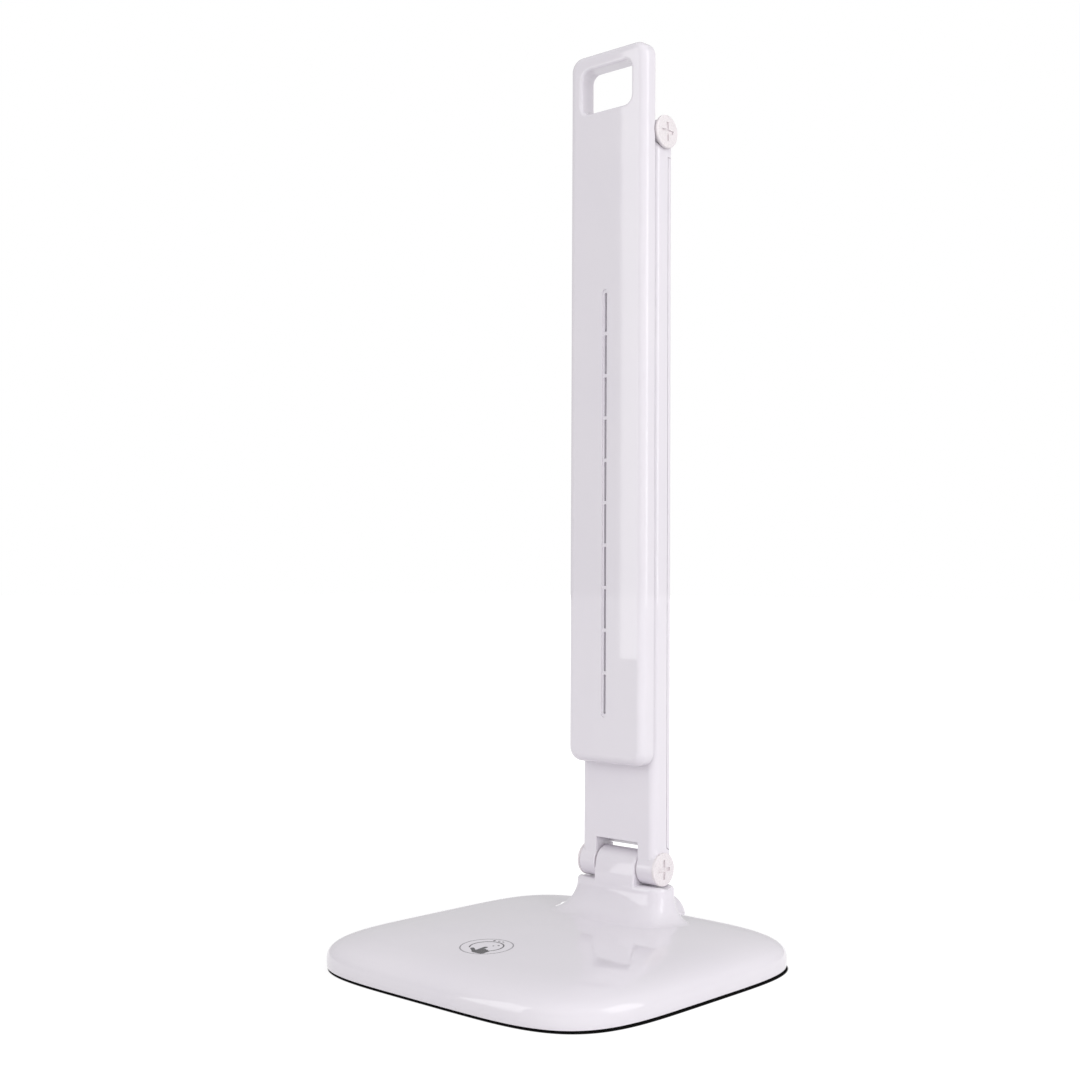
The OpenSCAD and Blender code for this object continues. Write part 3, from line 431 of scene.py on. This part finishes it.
def slab(name, w, l, mid_z, r, stations, corner=14):
    """Rounded rectangle seen from the front, lofted along Y; stations are (y, inset)."""
    rings = []
    for y, inset in stations:
        ring, round_r = [], max(0.02, r - inset)
        for quarter in range(4):
            mid_x = (w / 2 - r) * (-1 if quarter in (0, 3) else 1)
            mid = mid_z + (l / 2 - r) * (1 if quarter < 2 else -1)
            for k in range(corner + 1):
                t = math.pi / 2 * (quarter + k / corner)
                ring.append((mid_x - round_r * math.cos(t), y, mid + round_r * math.sin(t)))
        rings.append(ring)
    return loft(name, rings)


def weigh(piece):
    """Normals that follow the large faces, so that flat faces look flat beside round edges."""
    crease(piece.data, 30)
    step = piece.modifiers.new("step", "WEIGHTED_NORMAL")
    step.keep_sharp, step.weight = True, 100
    settle(piece)


def front_edge(r, y, steps=10):
    """Stations from a flat front face round its edge: from the face's inset to none."""
    turns = [math.pi / 2 * (1 - k / steps) for k in range(steps + 1)]
    return [(y + r * (1 - math.sin(a)), r * (1 - math.cos(a))) for a in turns]


def grip_cutter(front, rear):
    """The finger opening, widened at the front by its rounded lip."""
    widen = [(front + GRIP_LIP * (1 - math.sin(a)), -GRIP_LIP * (1 - math.cos(a)))
             for a in (math.pi / 2 * (1 - k / 8) for k in range(9))]
    return slab("grip", GRIP_W, GRIP_H, GRIP_Z, GRIP_R,
                [(front - 1, -GRIP_LIP)] + widen + [(rear, 0)], 12)


def cut_vents(piece):
    """A shallow groove with a row of slots in it."""
    groove_l = VENT_COUNT * VENT_PITCH + 2
    groove_z = HEAD_LOW + VENT_FROM + VENT_COUNT * VENT_PITCH / 2
    carve(piece, slab("groove", GROOVE_W, groove_l, groove_z, GROOVE_W / 2 - 0.01,
                      [(HEAD_FRONT - 1, 0), (HEAD_FRONT + GROOVE_T, 0)], 10), "DIFFERENCE")
    half = (VENT_PITCH - VENT_BRIDGE) / 2
    for k in range(VENT_COUNT):
        z = HEAD_LOW + VENT_FROM + (k + 0.5) * VENT_PITCH
        carve(piece, block("vent", (-VENT_W / 2, HEAD_FRONT - 1, z - half),
                           (VENT_W / 2, HEAD_FRONT + HEAD_WALL + 1, z + half)), "DIFFERENCE")


def build_head_cover():
    piece = slab("head_skin", HEAD_W, HEAD_LENGTH, HEAD_MIDDLE, HEAD_CORNER,
                 front_edge(HEAD_EDGE, HEAD_FRONT) + [(HEAD_SEAM, 0)])
    room = slab("head_room", HEAD_W - 2 * HEAD_WALL, HEAD_LENGTH - 2 * HEAD_WALL, HEAD_MIDDLE,
                HEAD_CORNER - HEAD_WALL,
                front_edge(HEAD_EDGE - HEAD_WALL, HEAD_FRONT + HEAD_WALL, 4)
                + [(HEAD_SEAM + 1, 0)], 8)
    collar = slab("collar", GRIP_W + 2 * HEAD_WALL, GRIP_H + 2 * HEAD_WALL, GRIP_Z,
                  GRIP_R + HEAD_WALL, [(HEAD_FRONT - 1, 0), (HEAD_SEAM + 2, 0)], 8)
    carve(room, collar, "DIFFERENCE")
    carve(piece, room, "DIFFERENCE")
    carve(piece, grip_cutter(HEAD_FRONT, HEAD_SEAM + 1), "DIFFERENCE")
    cut_vents(piece)
    weigh(piece)
    return piece


def millimetre_copy(node, name):
    """A new piece with a node's mesh, in millimetres and with its double points merged."""
    mesh = nodes[node].data.copy()
    mesh.transform(Matrix.Scale(1 / MM, 4))
    work = bmesh.new()
    work.from_mesh(mesh)
    bmesh.ops.remove_doubles(work, verts=work.verts, dist=0.001)
    work.to_mesh(mesh)
    work.free()
    mesh.materials.clear()
    return put(name, mesh)


def build_head_back():
    """The frame behind the cover, with the cover's tighter corners and its finger opening."""
    piece = millimetre_copy("head_frame", "head_back")
    carve(piece, slab("plug", GRIP_W + 1, GRIP_H + 1,
                      HEAD_HIGH - PART_GRIP_BAR - PART_GRIP_H / 2, GRIP_R,
                      [(HEAD_SEAM, 0), (HEAD_REAR, 0)], 6), "UNION")
    rear = [(HEAD_REAR - y, inset) for y, inset in front_edge(BACK_EDGE, 0, 6)[::-1]]
    band = slab("band", HEAD_W, HEAD_LENGTH, HEAD_MIDDLE, HEAD_CORNER, [(HEAD_SEAM, 0)] + rear)
    carve(band, slab("inner", HEAD_W - 2 * BAND_W, HEAD_LENGTH - 2 * BAND_W, HEAD_MIDDLE, BAND_R,
                     [(HEAD_SEAM - 1, 0), (HEAD_REAR + 1, 0)], 4), "DIFFERENCE")
    carve(piece, band, "UNION")
    for side in (-1, 1):
        low, high = sorted((side * ARM_W / 2, side * HEAD_W))
        carve(piece, rod("X", "cap_room", low, high, CAP_ROOM_R, HINGE_Y, TOP_Z, 96), "DIFFERENCE")
    # the cutter's widened end stays in front of the head, so the opening is straight here
    carve(piece, grip_cutter(HEAD_SEAM - 9, HEAD_REAR + 1), "DIFFERENCE")
    weigh(piece)
    return piece


head_skin, head_back = build_head_cover(), build_head_back()
for piece, node in ((head_skin, "head_cover"), (head_back, "head_frame")):
    to_metres(piece)
    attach(piece, "head")
    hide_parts(node)

base_housing, skin_source = build_base_housing()
crown_tree = BVHTree.FromPolygons([v.co for v in skin_source.data.vertices],
                                  [p.vertices[:] for p in skin_source.data.polygons])
bpy.data.objects.remove(skin_source)
to_metres(base_housing)
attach(base_housing, "base")
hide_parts("base_shell")


# ---------- touch mark, printed on the crown ----------

def crown_height(x, y):
    return crown_tree.ray_cast(Vector((x, y, 60)), Vector((0, 0, -1)))[0].z


def ink_point(work, place, lift):
    """A point at a lift over the crown, or under it where the lift is negative."""
    return work.verts.new((place[0], place[1], crown_height(*place) + lift))


def printed(work, outer, inner=None):
    """Adds one printed shape: a strip between two closed lines, or a filled line."""
    n = len(outer)
    top = [ink_point(work, p, INK_UP) for p in outer]
    low = [ink_point(work, p, INK_DOWN) for p in outer]
    for i in range(n):
        j = (i + 1) % n
        work.faces.new((low[i], low[j], top[j], top[i]))
    if inner is None:
        middle = (sum(x for x, y in outer) / n, sum(y for x, y in outer) / n)
        hub = ink_point(work, middle, INK_UP)
        for i in range(n):
            work.faces.new((top[i], top[(i + 1) % n], hub))
    else:
        inner_top = [ink_point(work, p, INK_UP) for p in inner]
        inner_low = [ink_point(work, p, INK_DOWN) for p in inner]
        for i in range(n):
            j = (i + 1) % n
            work.faces.new((top[i], top[j], inner_top[j], inner_top[i]))
            work.faces.new((inner_top[i], inner_top[j], inner_low[j], inner_low[i]))


def circle_line(x, y, r, n, start=0.0, sweep=360.0):
    """n points on a circle, or on an arc with both its ends."""
    full = sweep >= 360
    return [(x + r * math.cos(math.radians(start + sweep * i / (n if full else n - 1))),
             y + r * math.sin(math.radians(start + sweep * i / (n if full else n - 1))))
            for i in range(n)]


def arc_band(work, r, wide, start, sweep, n=64):
    """Part of a ring with round ends, as one filled strip."""
    a, b = [[ink_point(work, p, INK_UP) for p in circle_line(0, TOUCH_Y, edge, n, start, sweep)]
            for edge in (r + wide / 2, r - wide / 2)]
    for i in range(n - 1):
        work.faces.new((a[i], a[i + 1], b[i + 1], b[i]))
    for angle in (start, start + sweep):
        x = r * math.cos(math.radians(angle))
        y = TOUCH_Y + r * math.sin(math.radians(angle))
        printed(work, circle_line(x, y, wide / 2, 20))


def capsule(x, y, r, length, angle, n=14):
    """Closed line round a rounded bar that starts at (x, y) and runs along the angle."""
    c, s = math.cos(math.radians(angle)), math.sin(math.radians(angle))
    line = []
    for i in range(n + 1):
        a = math.pi / 2 - math.pi * i / n
        line.append((length + r * math.cos(a), r * math.sin(a)))
    for i in range(n + 1):
        a = -math.pi / 2 - math.pi * i / n
        line.append((r * math.cos(a), r * math.sin(a)))
    return [(x + c * u - s * v, y + s * u + c * v) for u, v in reversed(line)]


def print_hand(work):
    """A pointing hand: finger, three folded fingers, thumb and palm."""
    printed(work, capsule(0.9, TOUCH_Y - 6.6, 0.95, 5.2, 92))
    for k, high in enumerate((3.0, 2.6, 2.0)):
        printed(work, capsule(2.6 + 1.5 * k, TOUCH_Y - 6.8, 0.72, high, 90))
    printed(work, capsule(-0.4, TOUCH_Y - 7.4, 0.9, 3.2, 146))
    printed(work, capsule(1.2, TOUCH_Y - 7.9, 1.7, 3.5, 0))


def print_dots(work):
    """Three dots of falling size between the arc and the ring, and two growing inside the arc."""
    for k in range(3):
        angle = math.radians(113 - 15 * k)
        printed(work, circle_line(9.1 * math.cos(angle), TOUCH_Y + 9.1 * math.sin(angle),
                                  0.62 - 0.08 * k, 28))
    for k in range(2):
        printed(work, circle_line(1.9 + 1.5 * k, TOUCH_Y + 2.2 + 1.6 * k, 0.42 + 0.1 * k, 28))


def build_touch_mark():
    ring, sign = bmesh.new(), bmesh.new()
    printed(ring, circle_line(0, TOUCH_Y, MARK_R + MARK_LINE / 2, 144),
            circle_line(0, TOUCH_Y, MARK_R - MARK_LINE / 2, 144))
    arc_band(sign, ARC_R, ARC_LINE, -38, 262)
    print_hand(sign)
    print_dots(sign)
    pieces = []
    for name, work in (("touch_ring", ring), ("touch_sign", sign)):
        bmesh.ops.recalc_face_normals(work, faces=work.faces)
        mesh = bpy.data.meshes.new(name)
        work.to_mesh(mesh)
        work.free()
        piece = to_metres(put(name, mesh))
        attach(piece, "base")
        pieces.append(piece)
    return pieces


touch_ring, touch_sign = build_touch_mark()


# ---------- finishes ----------

class Board:
    """A material's or group's nodes, added and wired by name."""

    def __init__(self, tree):
        self.tree = tree

    def feed(self, socket, value):
        """Wires a socket to another one, or sets its plain value."""
        if isinstance(value, bpy.types.NodeSocket):
            self.tree.links.new(value, socket)
        else:
            socket.default_value = value

    def add(self, kind, values=None, **settings):
        node = self.tree.nodes.new("ShaderNode" + kind)
        for key, value in settings.items():
            setattr(node, key, value)
        for key, value in (values or {}).items():
            self.feed(node.inputs[key], value)
        return node

    def blend(self, share, a, b):
        node = self.add("Mix", data_type="RGBA")
        for index, value in ((0, share), (6, a), (7, b)):
            self.feed(node.inputs[index], value)
        return node.outputs[2]

    def sum(self, operation, a, b, c=None, clamp=False):
        node = self.add("Math", operation=operation, use_clamp=clamp)
        for index, value in ((0, a), (1, b), (2, c)):
            if value is not None:
                self.feed(node.inputs[index], value)
        return node.outputs[0]

    def fit(self, value, low, high, to_low, to_high):
        node = self.add("MapRange", {"Value": value, "From Min": low, "From Max": high,
                                     "To Min": to_low, "To Max": to_high})
        return node.outputs["Result"]


def shared_effect(name, inputs, outputs, build):
    """A node group with named inputs and outputs, built once and placed in each material."""
    tree = bpy.data.node_groups.new(name, "ShaderNodeTree")
    for label, kind, start in inputs:
        socket = tree.interface.new_socket(label, in_out="INPUT", socket_type="NodeSocket" + kind)
        socket.default_value = start
    for label, kind in outputs:
        tree.interface.new_socket(label, in_out="OUTPUT", socket_type="NodeSocket" + kind)
    board = Board(tree)
    given = tree.nodes.new("NodeGroupInput").outputs
    made = tree.nodes.new("NodeGroupOutput").inputs
    for label, socket in build(board, given).items():
        tree.links.new(socket, made[label])
    return tree


def rgb(r, g, b):
    return (r, g, b, 1.0)


def moulded_build(board, given):
    """Glossy moulded plastic: cloudy tone, slight flow lines, fine grain of the tool."""
    place = board.add("TexCoord").outputs["Object"]
    cloud = board.add("TexNoise", {"Vector": place, "Scale": 22.0, "Detail": 3.0}).outputs[0]
    grain = board.add("TexNoise", {"Vector": place, "Scale": given["Grain Scale"],
                                   "Detail": 2.0}).outputs[0]
    wave = board.add("TexNoise", {"Vector": place, "Scale": 55.0, "Detail": 1.0}).outputs[0]
    tone = board.fit(cloud, 0.3, 0.7, 0.0, 1.0)
    colour = board.blend(tone, given["Colour"], given["Cloud Colour"])
    speckle = board.fit(grain, 0.35, 0.65, -1.0, 1.0)
    rough = board.sum("MULTIPLY_ADD", speckle, given["Gloss Spread"], given["Roughness"])
    height = board.sum("MULTIPLY_ADD", grain, given["Grain Depth"],
                       board.sum("MULTIPLY", wave, given["Wave Depth"]))
    return {"Colour": colour, "Roughness": rough, "Height": height}


moulded = shared_effect(
    "moulded_surface",
    [("Colour", "Color", rgb(0.8, 0.8, 0.8)), ("Cloud Colour", "Color", rgb(0.78, 0.78, 0.78)),
     ("Roughness", "Float", 0.2), ("Gloss Spread", "Float", 0.02),
     ("Grain Scale", "Float", 900.0), ("Grain Depth", "Float", 0.1), ("Wave Depth", "Float", 1.0)],
    [("Colour", "Color"), ("Roughness", "Float"), ("Height", "Float")], moulded_build)


def turned_build(board, given):
    """Worked metal: fine tool marks around X, tarnish in soft patches."""
    place = board.add("TexCoord").outputs["Object"]
    drawn = board.add("Mapping", {"Vector": place, "Scale": given["Mark Stretch"]}).outputs[0]
    marks = board.add("TexNoise", {"Vector": drawn, "Scale": given["Mark Scale"],
                                   "Detail": 4.0}).outputs[0]
    patch = board.add("TexNoise", {"Vector": place, "Scale": 160.0, "Detail": 4.0}).outputs[0]
    share = board.fit(board.sum("ADD", board.sum("MULTIPLY", marks, 0.5), patch), 0.55, 0.95, 0, 1)
    colour = board.blend(share, given["Colour"], given["Tarnish"])
    rough = board.sum("MULTIPLY_ADD", marks, given["Gloss Spread"], given["Roughness"])
    return {"Colour": colour, "Roughness": rough, "Height": marks}


turned = shared_effect(
    "worked_metal",
    [("Colour", "Color", rgb(0.6, 0.6, 0.6)), ("Tarnish", "Color", rgb(0.4, 0.4, 0.4)),
     ("Roughness", "Float", 0.25), ("Gloss Spread", "Float", 0.15), ("Mark Scale", "Float", 900.0),
     ("Mark Stretch", "Vector", (1.0, 1.0, 1.0))],
    [("Colour", "Color"), ("Roughness", "Float"), ("Height", "Float")], turned_build)


def pattern_build(board, given):
    """Circuit board: solder mask over copper tracks, with tinned pads."""
    place = board.add("TexCoord").outputs["Object"]
    track = board.add("TexBrick", {"Vector": place, "Scale": 260.0, "Mortar Size": 0.035,
                                   "Color1": rgb(0, 0, 0), "Color2": rgb(0, 0, 0),
                                   "Mortar": rgb(1, 1, 1)}).outputs["Color"]
    pad = board.add("TexVoronoi", {"Vector": place, "Scale": 330.0}).outputs["Distance"]
    grain = board.add("TexNoise", {"Vector": place, "Scale": 700.0}).outputs[0]
    dots = board.fit(pad, 0.16, 0.12, 0.0, 1.0)
    masked = board.blend(track, given["Mask Colour"], given["Track Colour"])
    colour = board.blend(dots, masked, given["Pad Colour"])
    rough = board.sum("MULTIPLY_ADD", grain, 0.12, 0.26)
    return {"Colour": colour, "Roughness": rough, "Height": grain}


circuit = shared_effect(
    "circuit_board",
    [("Mask Colour", "Color", rgb(0.01, 0.1, 0.03)), ("Track Colour", "Color", rgb(0.02, 0.16, 0.05)),
     ("Pad Colour", "Color", rgb(0.6, 0.6, 0.58))],
    [("Colour", "Color"), ("Roughness", "Float"), ("Height", "Float")], pattern_build)


def finish(name, effect, values, sockets, bump):
    """A material: one shared effect into the shader, its plain numbers on the shader itself."""
    material = bpy.data.materials.new(name)
    material.use_nodes = True
    board = Board(material.node_tree)
    shader = material.node_tree.nodes["Principled BSDF"]
    part = board.add("Group", node_tree=effect)
    for label, value in values.items():
        part.inputs[label].default_value = value
    links = material.node_tree.links
    links.new(part.outputs["Colour"], shader.inputs["Base Color"])
    links.new(part.outputs["Roughness"], shader.inputs["Roughness"])
    relief = board.add("Bump", {"Height": part.outputs["Height"], "Strength": 1.0,
                                "Distance": bump})
    links.new(relief.outputs["Normal"], shader.inputs["Normal"])
    for label, value in sockets.items():
        shader.inputs[label].default_value = value
    return material


def moulded_finish(name, colour, cloud, roughness, spread=0.02, grain=900.0, depth=0.1, wave=1.0,
                   bump=0.00001, **sockets):
    return finish(name, moulded,
                  {"Colour": colour, "Cloud Colour": cloud, "Roughness": roughness,
                   "Gloss Spread": spread, "Grain Scale": grain, "Grain Depth": depth,
                   "Wave Depth": wave}, sockets, bump)


def metal_finish(name, colour, tarnish, roughness, spread=0.15, marks=900.0,
                 stretch=(6.0, 1.0, 1.0), bump=0.000004):
    return finish(name, turned,
                  {"Colour": colour, "Tarnish": tarnish, "Roughness": roughness,
                   "Gloss Spread": spread, "Mark Scale": marks, "Mark Stretch": stretch},
                  {"Metallic": 1.0}, bump)


def board_finish(name, mask, track, pad):
    return finish(name, circuit, {"Mask Colour": mask, "Track Colour": track, "Pad Colour": pad},
                  {}, 0.00002)


gloss_white = moulded_finish("gloss_white_shell", rgb(0.80, 0.765, 0.815), rgb(0.785, 0.75, 0.805),
                             0.03, 0.005, 1400.0, 0.05, 1.0, 0.000004)
cap_cream = moulded_finish("cap_cream", rgb(0.82, 0.77, 0.79), rgb(0.80, 0.75, 0.77),
                           0.28, 0.04, 1200.0, 0.3, 0.6, 0.00001)
satin_black = moulded_finish("satin_black_plastic", rgb(0.012, 0.012, 0.013),
                             rgb(0.018, 0.018, 0.02), 0.62, 0.08, 1600.0, 1.0, 0.3, 0.00003,
                             **{"Specular IOR Level": 0.25})
foot_rubber = moulded_finish("foot_rubber", rgb(0.022, 0.022, 0.023), rgb(0.03, 0.03, 0.03),
                             0.78, 0.08, 2200.0, 1.0, 0.2, 0.00005)
dark_epoxy = moulded_finish("dark_component", rgb(0.02, 0.02, 0.023), rgb(0.03, 0.03, 0.034),
                            0.5, 0.08, 2600.0, 1.0, 0.2, 0.00003)
lead_sheath = moulded_finish("lead_sheath", rgb(0.015, 0.015, 0.016), rgb(0.022, 0.022, 0.024),
                             0.46, 0.06, 1800.0, 0.8, 0.6, 0.00003)
opal = moulded_finish("opal_diffuser", rgb(0.88, 0.88, 0.85), rgb(0.86, 0.86, 0.83),
                      0.34, 0.04, 2400.0, 0.8, 0.4, 0.000015)
reflector_white = moulded_finish("reflector_sheet", rgb(0.9, 0.9, 0.9), rgb(0.87, 0.87, 0.87),
                                 0.5, 0.05, 2000.0, 0.7, 0.3, 0.00002)
led_lens = moulded_finish("led_lens", rgb(0.9, 0.72, 0.22), rgb(0.86, 0.64, 0.16),
                          0.3, 0.06, 3000.0, 0.6, 0.3, 0.00002)
clear_acrylic = moulded_finish("clear_guide", rgb(0.93, 0.97, 0.98), rgb(0.9, 0.95, 0.97),
                               0.06, 0.02, 900.0, 0.1, 0.6, 0.00001)
shell_ink = moulded_finish("printed_ink", rgb(0.05, 0.047, 0.055), rgb(0.08, 0.075, 0.085),
                           0.3, 0.06, 2600.0, 0.6, 0.4, 0.00001)
ring_ink = moulded_finish("printed_ring_ink", rgb(0.22, 0.21, 0.23), rgb(0.28, 0.27, 0.3),
                          0.3, 0.06, 2600.0, 0.6, 0.4, 0.00001)
bright_steel = metal_finish("bright_steel", rgb(0.55, 0.55, 0.57), rgb(0.42, 0.42, 0.44), 0.22)
cast_ballast = metal_finish("cast_ballast", rgb(0.2, 0.2, 0.21), rgb(0.11, 0.11, 0.12), 0.5, 0.2,
                            500.0, (1.0, 1.0, 1.0), 0.00006)
bearing_brass = metal_finish("bearing_brass", rgb(0.72, 0.5, 0.2), rgb(0.5, 0.33, 0.14), 0.24)
spring_bronze = metal_finish("spring_bronze", rgb(0.62, 0.35, 0.2), rgb(0.4, 0.22, 0.13), 0.28)
heat_aluminium = metal_finish("rolled_aluminium", rgb(0.5, 0.5, 0.52), rgb(0.38, 0.38, 0.4), 0.35,
                              0.15, 500.0, (1.0, 8.0, 1.0))
green_board = board_finish("green_board", rgb(0.008, 0.09, 0.03), rgb(0.015, 0.15, 0.05),
                           rgb(0.62, 0.6, 0.55))
white_board = board_finish("white_led_board", rgb(0.82, 0.82, 0.78), rgb(0.7, 0.7, 0.66),
                           rgb(0.6, 0.58, 0.52))

FINISHES = {
    gloss_white: ["arm_shell", "arm_cover", "head_cover", "head_frame", "base_shell"],
    cap_cream: ["lower_caps", "upper_spacers", "upper_caps"],
    satin_black: ["base_plate", "dc_socket"],
    foot_rubber: ["base_feet"],
    dark_epoxy: ["board_parts"],
    lead_sheath: ["base_lead", "arm_lead", "head_lead"],
    opal: ["diffuser"],
    reflector_white: ["reflector"],
    led_lens: ["leds"],
    clear_acrylic: ["light_guide"],
    bright_steel: ["base_screws", "ballast_screws", "board_screws", "arm_screws", "head_screws",
                   "lower_shaft", "upper_shaft", "dc_pin"],
    cast_ballast: ["ballast"],
    bearing_brass: ["lower_bushes", "upper_bushes", "lower_washers", "upper_washers"],
    spring_bronze: ["touch_spring"],
    heat_aluminium: ["heat_plate"],
    green_board: ["touch_board"],
    white_board: ["led_boards"],
}


def dress(piece, material):
    piece.data.materials.clear()
    piece.data.materials.append(material)


for material, names in FINISHES.items():
    for name in names:
        dress(nodes[name], material)
for piece in (base_housing, head_skin, head_back):
    dress(piece, gloss_white)
dress(touch_ring, ring_ink)
dress(touch_sign, shell_ink)


# ---------- studio ----------

# How far the floor's painted shadow under the base is moved to the right and to the rear, in mm.
SHADE_RIGHT, SHADE_BACK = 0.5, 0.3
FLOOR_HALF, FADE_FROM, FADE_TO, FLOOR_GLOW = 12.0, 0.12, 0.45, 0.78
ROOM_LIGHT, ROOM_IN_GLOSS = 0.75, 0.59

def seen_or_mirrored(board):
    """1 for rays from the camera, and for mirrored and transmitted ones."""
    path = board.add("LightPath").outputs
    return board.sum("ADD", board.sum("ADD", path["Is Camera Ray"], path["Is Glossy Ray"]),
                     path["Is Transmission Ray"], clamp=True)


def painted_shadow_mask(board, place):
    """Mask of the floor's painted shadow: 0 on the floor under the base and 1 outside the base's
    outline, with a soft edge; the outline is set a little to the right and to the rear, so the
    painted shadow shows thin along the front and wider along the right side."""
    along = board.add("SeparateXYZ", {0: place}).outputs
    span = None
    for axis, size, shift in (("X", BASE_W, SHADE_RIGHT), ("Y", BASE_D, SHADE_BACK)):
        moved = board.sum("ADD", along[axis], -shift * MM)
        share = board.sum("DIVIDE", board.sum("ABSOLUTE", moved, 0.0), (size / 2 - RIM_IN) * MM)
        share = board.sum("POWER", share, BASE_SQUARE)
        span = share if span is None else board.sum("ADD", span, share)
    return board.fit(span, 0.99, 1.015, 0.0, 1.0)


def lay_floor():
    """Pale floor: it bounces soft light, keeps the lamp's shadow and fades to the white room; under
    the base it is painted near black as a shadow.
    It is clear from below, and lets light through to the lamp's underside. Metres."""
    corners = [(x * FLOOR_HALF, y * FLOOR_HALF, 0) for x, y in ((-1, -1), (1, -1), (1, 1), (-1, 1))]
    floor = put("floor", mesh_of("floor", corners, [(0, 1, 2, 3)]))
    material = bpy.data.materials.new("pale_floor")
    material.use_nodes = True
    tree = material.node_tree
    tree.nodes.clear()
    board = Board(tree)
    place = board.add("TexCoord").outputs["Object"]
    far = board.add("VectorMath", {0: place}, operation="LENGTH").outputs["Value"]
    clear = painted_shadow_mask(board, place)
    pale = board.add("BsdfDiffuse", {"Color": rgb(0.75, 0.75, 0.75)}).outputs[0]
    # Painted shadow: the floor's seen colour is near black under the base.
    tone = board.blend(clear, rgb(0.01, 0.01, 0.01), rgb(0.3, 0.3, 0.3))
    seen = board.add("BsdfDiffuse", {"Color": tone}).outputs[0]
    # Painted shadow: the floor's glow is turned off under the base.
    strength = board.sum("MULTIPLY", board.fit(far, FADE_FROM, FADE_TO, FLOOR_GLOW, 1.0), clear)
    glow = board.add("Emission", {"Strength": strength}).outputs[0]
    white = board.add("AddShader")
    tree.links.new(seen, white.inputs[0])
    tree.links.new(glow, white.inputs[1])
    seen_ray = seen_or_mirrored(board)
    choose = board.add("MixShader", {0: seen_ray})
    tree.links.new(pale, choose.inputs[1])
    tree.links.new(white.outputs[0], choose.inputs[2])
    lit_below = board.sum("SUBTRACT", 1.0, board.sum("MAXIMUM", seen_ray, clear), clamp=True)
    open_to = board.sum("MAXIMUM", lit_below, board.add("NewGeometry").outputs["Backfacing"])
    below = board.add("MixShader", {0: open_to})
    tree.links.new(choose.outputs[0], below.inputs[1])
    tree.links.new(board.add("BsdfTransparent").outputs[0], below.inputs[2])
    out = board.add("OutputMaterial")
    tree.links.new(below.outputs[0], out.inputs["Surface"])
    floor.data.materials.append(material)


def hang_softbox(name, place, target, size, glow, mirrored):
    """A rectangular soft light facing its target, in metres. Either it is mirrored in the
    gloss and lights nothing else, or it lights and isn't mirrored."""
    light = bpy.data.lights.new(name, "AREA")
    light.shape = "RECTANGLE"
    light.size, light.size_y = size
    light.energy = glow * math.pi * size[0] * size[1]
    lamp = bpy.data.objects.new(name, light)
    bpy.context.scene.collection.objects.link(lamp)
    lamp.location = place
    lamp.rotation_mode = "QUATERNION"
    lamp.rotation_quaternion = (Vector(target) - Vector(place)).to_track_quat("-Z", "Y")
    lamp.visible_camera = False
    lamp.visible_glossy, lamp.visible_diffuse = mirrored, not mirrored


def light_room():
    """White room to the camera, greyer as a light and in the gloss of the shells."""
    world = bpy.data.worlds.new("studio")
    bpy.context.scene.world = world
    world.use_nodes = True
    tree = world.node_tree
    tree.nodes.clear()
    board = Board(tree)
    path = board.add("LightPath").outputs
    mirrored = board.sum("MAXIMUM", path["Is Glossy Ray"], path["Is Transmission Ray"])
    strength = board.sum("MULTIPLY_ADD", mirrored, ROOM_IN_GLOSS - ROOM_LIGHT, ROOM_LIGHT)
    strength = board.sum("MAXIMUM", strength, path["Is Camera Ray"])
    room = board.add("Background", {"Color": rgb(1, 1, 1), "Strength": strength}).outputs[0]
    out = board.add("OutputWorld")
    tree.links.new(room, out.inputs["Surface"])


def around(azimuth, distance, height):
    """A place round the lamp: azimuth from the front (-Y) towards the left (-X), in degrees."""
    a = math.radians(azimuth)
    return (-math.sin(a) * distance, -math.cos(a) * distance, height)


lay_floor()
light_room()
hang_softbox("left_window", around(27, 1.6, 0.8), (0, 0, 0.8), (0.75, 1.5), 2.4, mirrored=True)
hang_softbox("right_window", around(-112, 1.6, 0.75), (0, 0, 0.25), (0.9, 1.3), 2.5, mirrored=True)
hang_softbox("left_fill", around(27, 1.6, 0.8), (0, 0, 0.8), (0.75, 1.5), 0.6, mirrored=False)
hang_softbox("front_fill", around(-22, 1.7, 0.7), (0, 0, 0.7), (0.8, 1.4), 1.36, mirrored=False)
hang_softbox("right_fill", around(-88, 1.6, 0.6), (0, 0, 0.25), (0.6, 1.2), 4.1, mirrored=False)

bpy.context.scene.view_settings.view_transform = "Standard"
